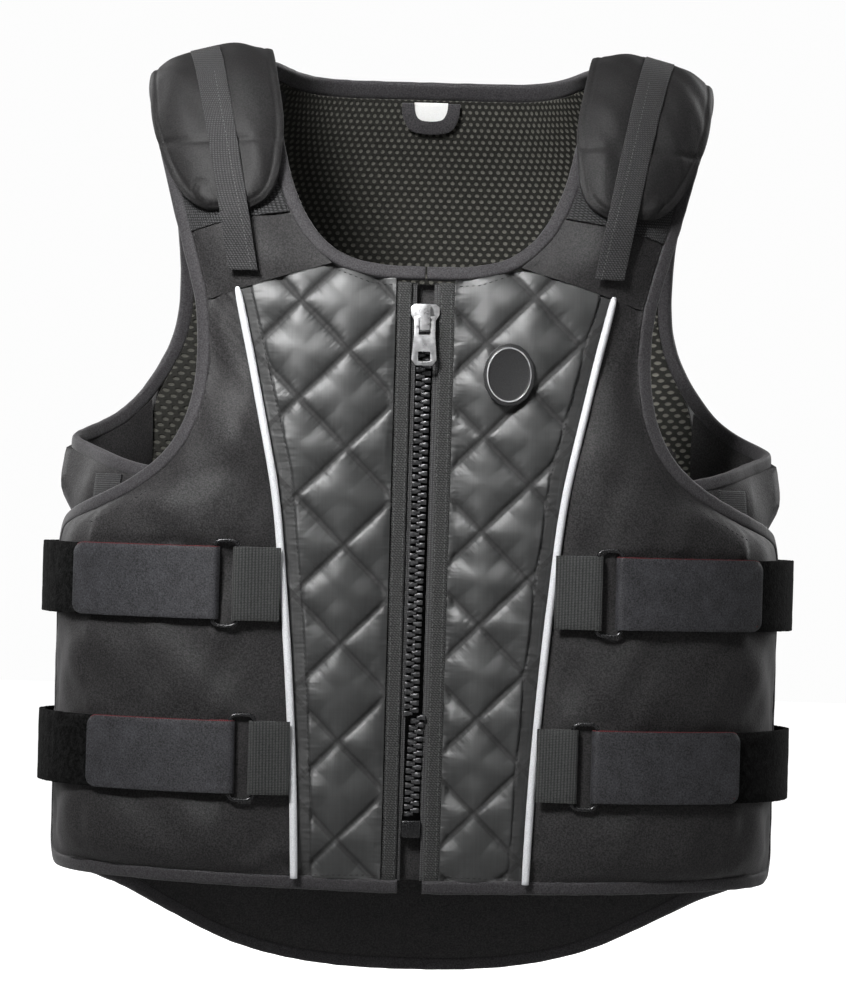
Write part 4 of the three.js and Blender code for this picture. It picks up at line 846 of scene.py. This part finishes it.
def lay_cloth_map(piece):
    """UV map in metres: round the form, and down."""
    angles, lengths = arc_lengths()
    spots = points_of(piece)
    angle = np.arctan2(np.abs(spots[:, 0]) / FORM_WIDE, np.abs(spots[:, 1]) / FORM_DEEP)
    round_it = np.interp(angle, angles, lengths) * np.sign(spots[:, 0])
    layer = piece.data.uv_layers.new(name="cloth")
    corners = np.empty(len(piece.data.loops), dtype=int)
    piece.data.loops.foreach_get("vertex_index", corners)
    flat = np.stack([round_it[corners], spots[corners, 2]], axis=1)
    layer.data.foreach_set("uv", flat.ravel().astype(np.float32))


lining = copy_node("back_lining", "back_mesh")
crease(lining)
subdivide(lining, 2)
lay_cloth_map(lining)
shade(lining, 50)
dress(lining, MESH, "mesh", "back_lining")

guard = flat_tape("zip_guard", "zip_guard_cloth", SHELL, "shell")
for side in SIDES:
    flat_tape(f"zip_tape_{side}", f"zip_tape_weave_{side}", ZIP_TAPE, "webbing", bevel=0.2 * MM)
    flat_tape(f"wing_strip_{side}", f"wing_strip_tape_{side}", GROSGRAIN, "webbing")
plackets = {
    side: flat_tape(f"placket_{side}", f"placket_tape_{side}", PLACKET, "trim", bevel=0.9 * MM)
    for side in SIDES}
strips = {
    side: flat_tape(f"shoulder_strip_{side}", f"shoulder_strip_tape_{side}", GROSGRAIN, "webbing")
    for side in SIDES}
patches = {
    side: flat_tape(f"loop_patch_{side}", f"loop_face_{side}", LOOP_FACE, "webbing", bevel=0)
    for side in SIDES}


def soften_pile(piece):
    spots = points_of(piece)
    rough = folds(spots[:, 2] / (3.1 * MM), (spots[:, 0] + spots[:, 1]) / (2.3 * MM))
    move_points(piece, spots + normals_of(piece) * (0.28 * MM * rough)[:, None])


def round_corners(piece, side, radius):
    """Rounds the two corners at a strap's free end, away from the middle."""
    spots = points_of(piece)
    sign = SIDES[side]
    out = spots[:, 0] * sign
    far = out.max()
    top, low = spots[:, 2].max(), spots[:, 2].min()
    from_end = far - out
    from_top = np.minimum(top - spots[:, 2], spots[:, 2] - low)
    inside = (from_end < radius) & (from_top < radius)
    a = (from_end - radius)[inside]
    b = (from_top - radius)[inside]
    share = np.maximum(np.abs(a), np.abs(b)) / np.maximum(np.hypot(a, b), 1e-9)
    upper = np.where(top - spots[:, 2] < spots[:, 2] - low, 1, -1)[inside]
    spots[inside, 0] = (far - (a * share + radius)) * sign
    spots[inside, 2] = np.where(upper > 0, top - (b * share + radius), low + (b * share + radius))
    move_points(piece, spots)


tabs = {}
for side in SIDES:
    for level in ("upper", "lower"):
        strap = flat_tape(f"{level}_webbing_{side}", f"{level}_strap_{side}", WEBBING, "webbing")
        spots = points_of(strap)
        inner = np.abs(spots[:, 0])
        reach = smoothstep(1 - (inner - inner.min()) / (9 * MM))
        move_points(strap, spots - np.outer(reach * SIDES[side] * 4.5 * MM, [1, 0, 0]))
        band = flat_tape(f"{level}_plush_band_{side}", f"{level}_pile_band_{side}", PILE, "plush", 3, 1.0 * MM)
        soften_pile(band)
        node = f"{level}_hook_tab_{side}"
        tab = copy_node(node, f"{level}_suede_tab_{side}")
        crease(tab)
        subdivide(tab, 3)
        round_corners(tab, side, 7 * MM)
        apply(tab, "BEVEL", width=0.4 * MM, segments=2, limit_method="ANGLE", angle_limit=math.radians(50))
        shade(tab, 40)
        tabs[f"{level}_{side}"] = dress(tab, SUEDE, "suede", node)
        lining_strip = copy_node(node, f"{level}_tab_lining_{side}")
        crease(lining_strip)
        subdivide(lining_strip, 2)
        round_corners(lining_strip, side, 7 * MM)
        fatten(lining_strip, -0.5 * MM)
        move_points(lining_strip, points_of(lining_strip) + np.array([0, 0, 0.95 * MM]))
        shade(lining_strip, 40)
        dress(lining_strip, RED, "webbing")
        ring = copy_node(f"{level}_ring_{side}", f"{level}_wire_ring_{side}")
        fatten(ring, 0.45 * MM)
        subdivide(ring, 2)
        shade(ring)
        dress(ring, BLACK, "plastic", f"{level}_ring_{side}")

flat_tape("hang_loop", "hang_loop_tape", TAPE, "webbing")
flat_tape("neck_label", "neck_label_cloth", LABEL, "label", 2, 0.2 * MM)

for side in SIDES:
    cord = copy_node(f"piping_{side}", f"piping_cord_{side}")
    fatten(cord, 1.75 * MM)
    crease(cord, 70, 0.0)
    subdivide(cord, 3)
    shade(cord)
    dress(cord, PIPING, "piping", f"piping_{side}")


# Zip

def shown_points(targets, line, step, from_back=False):
    """Points and outward directions on the pieces along a line of x and z, seen from the front."""
    line = np.array(line, dtype=float)
    lengths = np.concatenate([[0], np.cumsum(np.linalg.norm(np.diff(line, axis=0), axis=1))])
    count = max(int(lengths[-1] / step), 1)
    found = []
    start_y, way = (0.5, -1) if from_back else (-0.5, 1)
    for run in (np.arange(count) + 0.5) * lengths[-1] / count:
        x = float(np.interp(run, lengths, line[:, 0]))
        z = float(np.interp(run, lengths, line[:, 1]))
        best = None
        for target in targets:
            hit, spot, normal, _ = target.ray_cast(Vector((x, start_y, z)), Vector((0, way, 0)))
            if hit and (best is None or (spot.y - best[0].y) * way < 0):
                best = (spot.copy(), normal.copy())
        if best:
            found.append(best)
    return found


def repeat(name, model, places, look, slot, body="vest"):
    """One mesh with a copy of the model at each place, a matrix."""
    base = np.array([v.co for v in model.data.vertices])
    faces = [tuple(face.vertices) for face in model.data.polygons]
    spots, all_faces = [], []
    for index, matrix in enumerate(places):
        turn = np.array(matrix.to_3x3())
        spots.append(base @ turn.T + np.array(matrix.translation))
        shift = index * len(base)
        all_faces += [tuple(corner + shift for corner in face) for face in faces]
    mesh = bpy.data.meshes.new(name)
    mesh.from_pydata(np.concatenate(spots).tolist(), [], all_faces)
    mesh.update()
    piece = bpy.data.objects.new(name, mesh)
    bpy.context.collection.objects.link(piece)
    shade(piece, 50)
    return dress(piece, look, slot, body=body)


def frame_at(spot, along, out):
    """Matrix whose X runs along and whose Z points out."""
    out = out.normalized()
    along = (along - out * along.dot(out)).normalized()
    side = out.cross(along)
    matrix = Matrix((along, side, out)).transposed().to_4x4()
    matrix.translation = spot
    return matrix


def stitch_model(length, width):
    bpy.ops.object.select_all(action="DESELECT")
    bpy.ops.mesh.primitive_uv_sphere_add(segments=6, ring_count=4, radius=0.5)
    model = bpy.context.object
    model.scale = (length, width, width)
    bpy.ops.object.transform_apply(location=False, rotation=False, scale=True)
    return model


stitch = stitch_model(3.0 * MM, 0.9 * MM)
small_stitch = stitch_model(1.7 * MM, 0.7 * MM)


def sew(name, targets, line, pitch=4.2 * MM, model=None, look=None, slot="trim", sunk=0.1 * MM, from_back=False):
    """A row of stitches on the pieces."""
    found = shown_points(targets, line, pitch, from_back)
    if len(found) < 2:
        return None
    places = []
    for index, (spot, normal) in enumerate(found):
        before = found[max(index - 1, 0)][0]
        after = found[min(index + 1, len(found) - 1)][0]
        if (after - before).length > 4 * pitch:
            continue
        places.append(frame_at(spot - normal * sunk, after - before, normal))
    return repeat(name, model or stitch, places, look or THREAD, slot)


def mirrored(line, side):
    return [(x * SIDES[side], z) for x, z in line]


bpy.context.view_layer.update()

teeth_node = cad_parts["zip_teeth_left"]


def tooth_model():
    """A tooth: a block on the tape's edge and a narrower head that hooks over the middle."""
    bpy.ops.object.select_all(action="DESELECT")
    bpy.ops.mesh.primitive_cube_add(size=1)
    model = bpy.context.object
    model.scale = (3.5 * MM, 3.3 * MM, 5.4 * MM)
    model.location = (3.35 * MM, 0, 0)
    bpy.ops.object.transform_apply(location=True, rotation=False, scale=True)
    bpy.ops.object.mode_set(mode="EDIT")
    bpy.ops.mesh.select_all(action="DESELECT")
    bpy.ops.object.mode_set(mode="OBJECT")
    for face in model.data.polygons:
        face.select = face.normal.x < -0.9
    bpy.ops.object.mode_set(mode="EDIT")
    bpy.ops.mesh.extrude_region_move(TRANSFORM_OT_translate={"value": (-1.1 * MM, 0, 0)})
    bpy.ops.transform.resize(value=(1, 0.52, 0.8))
    bpy.ops.mesh.extrude_region_move(TRANSFORM_OT_translate={"value": (-1.5 * MM, 0, 0)})
    bpy.ops.transform.resize(value=(1, 1.5, 1))
    bpy.ops.object.mode_set(mode="OBJECT")
    apply(model, "BEVEL", width=0.45 * MM, segments=2, limit_method="ANGLE", angle_limit=math.radians(35))
    return model


tooth = tooth_model()
TOOTH_PITCH = 4.9 * MM
low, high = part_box("zip_teeth_left")
tooth_spots = {}
for side, sign in SIDES.items():
    tooth_spots[side] = []
    for index in range(int((high.z - low.z - 5 * MM) / TOOTH_PITCH)):
        z = high.z - 4 * MM - (index + (0.5 if sign < 0 else 0)) * TOOTH_PITCH
        hit, spot, normal, _ = teeth_node.ray_cast(Vector((3 * MM, -0.5, z)), Vector((0, 1, 0)))
        if hit:
            middle = Vector((0, spot.y, spot.z)) - normal * 3 * MM
            tooth_spots[side].append(frame_at(middle, Vector((sign, 0, 0)), Vector((0, normal.y, normal.z))))
for side in SIDES:
    row = repeat(f"zip_teeth_row_{side}", tooth, tooth_spots[side], TEETH, "gunmetal")
    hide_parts(f"zip_teeth_{side}")


def hard(node, name, look, slot, width, body="vest"):
    """A hard fitting, its edges rounded."""
    piece = copy_node(node, name)
    apply(piece, "BEVEL", width=width, segments=3, limit_method="ANGLE", angle_limit=math.radians(35))
    shade(piece, 35)
    return dress(piece, look, slot, node, body=body)


hard("zip_slider", "slider_body", SILVER, "silver", 0.35 * MM)
hard("zip_pull", "pull_plate", SILVER, "silver", 0.3 * MM, "zip_pull")
hard("zip_box", "zip_end_box", BLACK, "plastic", 1.0 * MM)


# Badge: an oval patch with a raised rim, its face bare

badge = copy_node("badge_patch", "badge_oval")
only(badge)
bpy.ops.object.mode_set(mode="EDIT")
bpy.ops.mesh.select_mode(type="FACE")
bpy.ops.mesh.select_all(action="DESELECT")
bpy.ops.object.mode_set(mode="OBJECT")
for face in badge.data.polygons:
    face.select = face.normal.y < -0.8
bpy.ops.object.mode_set(mode="EDIT")
bpy.ops.mesh.dissolve_faces()
bpy.ops.mesh.inset(thickness=2.0 * MM, depth=0)
bpy.ops.mesh.inset(thickness=0.9 * MM, depth=0.8 * MM)
bpy.ops.mesh.inset(thickness=0.9 * MM, depth=-0.8 * MM)
bpy.ops.object.mode_set(mode="OBJECT")
apply(badge, "BEVEL", width=0.5 * MM, segments=3, limit_method="ANGLE", angle_limit=math.radians(30))
shade(badge, 50)
dress(badge, PATCH, "rubber", "badge_patch")


# Sewing

for side, sign in SIDES.items():
    quilted, panel, yoke = quilts[side], panels[side], yokes[side]
    placket, strip, patch = plackets[side], strips[side], patches[side]
    near_zip = [(10.9 * MM, -0.158), (10.9 * MM, -0.556)]
    far_zip = [(17.6 * MM, -0.158), (17.6 * MM, -0.556)]
    sew(f"placket_stitches_inner_{side}", [placket], mirrored(near_zip, side), 3.4 * MM, look=GREY_THREAD)
    sew(f"placket_stitches_outer_{side}", [placket], mirrored(far_zip, side), 3.4 * MM, look=GREY_THREAD)
    seam_row = [(x - 8.3 * MM, z) for x, z in PIPING_TABLE[1:-1]]
    sew(f"piping_stitches_{side}", [quilted], mirrored(seam_row, side), 3.6 * MM)
    neck_row = [
        (0.022, -0.1525), (0.037, -0.1515), (0.071, -0.1395), (0.089, -0.119), (0.101, -0.091), (0.108, -0.074),
    ]
    sew(f"neck_stitches_{side}", [quilted, yoke, patch], mirrored(neck_row, side), 4.0 * MM)
    arm_row = [
        (0.167, -0.100), (0.157, -0.132), (0.1475, -0.168), (0.1455, -0.196), (0.149, -0.236),
        (0.159, -0.270), (0.174, -0.289), (0.203, -0.308), (0.228, -0.321),
    ]
    sew(f"armhole_stitches_{side}", [panel, yoke, patch], mirrored(arm_row, side), 4.0 * MM)
    hem_row = [(0.022, -0.556), (0.08, -0.557), (0.15, -0.558), (0.21, -0.560)]
    sew(f"hem_stitches_{side}", [quilted, panel], mirrored(hem_row, side), 4.0 * MM)
    for index, inset in enumerate((3 * MM, 6.5 * MM)):
        row = [(0.097, -0.1115 + inset), (0.165, -0.1335 + inset)]
        sew(f"loop_patch_stitches_{side}_{index}", [patch], mirrored(row, side), 3.6 * MM)
    for index, shift in enumerate((-8.2 * MM, 8.2 * MM)):
        row = [(0.1595 + shift, -0.004), (0.1275 + shift, -0.146)]
        look, model = (PALE_THREAD, small_stitch)
        sew(f"strip_stitches_{side}_{index}", [strip], mirrored(row, side), 2.6 * MM, model, look)
    for index, z in enumerate((-0.004, -0.013)):
        row = [(0.151, z), (0.168, z)]
        sew(f"strip_bar_{side}_{index}", [strip], mirrored(row, side), 2.6 * MM, small_stitch, THREAD)

for model in (stitch, small_stitch, tooth):
    bpy.data.objects.remove(model)


# Studio and camera

def studio_light(name, kind, place_at, aim, power, size, color=(1, 1, 1)):
    data = bpy.data.lights.new(name, kind)
    data.energy = power
    data.color = color
    if kind == "AREA":
        data.shape = "RECTANGLE"
        data.size, data.size_y = size
    lamp = bpy.data.objects.new(name, data)
    scene.collection.objects.link(lamp)
    lamp.location = place_at
    lamp.rotation_euler = (Vector(aim) - Vector(place_at)).to_track_quat("-Z", "Y").to_euler()
    return lamp


MIDDLE = (0, 0, -0.3)
key = studio_light("key", "AREA", (-0.75, -1.35, 0.92), (-0.12, -0.1, -0.12), 3.6, (0.6, 0.6))
key.data.spread = math.radians(34)
studio_light("fill", "AREA", (1.7, -2.4, -0.1), MIDDLE, 4, (1.2, 1.4))
studio_light("top", "AREA", (0.2, -0.6, 1.5), (0, 0, -0.1), 4, (1.0, 0.7))
studio_light("rear_left", "AREA", (-1.6, 1.4, 0.5), MIDDLE, 24, (0.8, 1.6))
studio_light("rear_right", "AREA", (1.6, 1.4, 0.5), MIDDLE, 24, (0.8, 1.6))

bpy.ops.object.select_all(action="DESELECT")
bpy.ops.mesh.primitive_plane_add(size=14, location=(0, 0, -0.72))
floor = bpy.context.object
floor.name = "studio_floor"
floor_look, floor_tree, floor_shader = finish("pale_floor", 0.9)
link(
    floor_tree,
    tones(floor_tree, grain(floor_tree, 0.3), (0.60, 0.60, 0.60), (0.63, 0.63, 0.63)),
    floor_shader.inputs["Base Color"],
)
floor_shader.inputs["Emission Color"].default_value = (1, 1, 1, 1)
seen_floor = knot(floor_tree, "ShaderNodeLightPath").outputs["Is Camera Ray"]
link(floor_tree, seen_floor, floor_shader.inputs["Emission Strength"])
floor.data.materials.append(floor_look)

world = bpy.data.worlds.new("pale_studio")
world.use_nodes = True
scene.world = world
air = world.node_tree
sky = air.nodes["Background"]
sky.inputs["Color"].default_value = (1, 1, 1, 1)
seen = air.nodes.new("ShaderNodeLightPath").outputs["Is Camera Ray"]
strength = air.nodes.new("ShaderNodeMath")
strength.operation = "MULTIPLY_ADD"
air.links.new(seen, strength.inputs[0])
strength.inputs[1].default_value = 0.87
strength.inputs[2].default_value = 0.11
air.links.new(strength.outputs[0], sky.inputs["Strength"])
scene.view_settings.view_transform = "Standard"

camera_data = bpy.data.cameras.new("camera")
camera_data.sensor_fit = "VERTICAL"
camera_data.sensor_height = 36
camera_data.lens = 169.4
camera = bpy.data.objects.new("camera", camera_data)
scene.collection.objects.link(camera)
camera.location = (0.002, -3.324, -0.299)
camera.matrix_world = (
    Matrix.Translation(camera.location)
    @ Matrix.Rotation(math.radians(-1.6), 4, "Y")
    @ Matrix.Rotation(math.radians(90), 4, "X")
)
scene.camera = camera
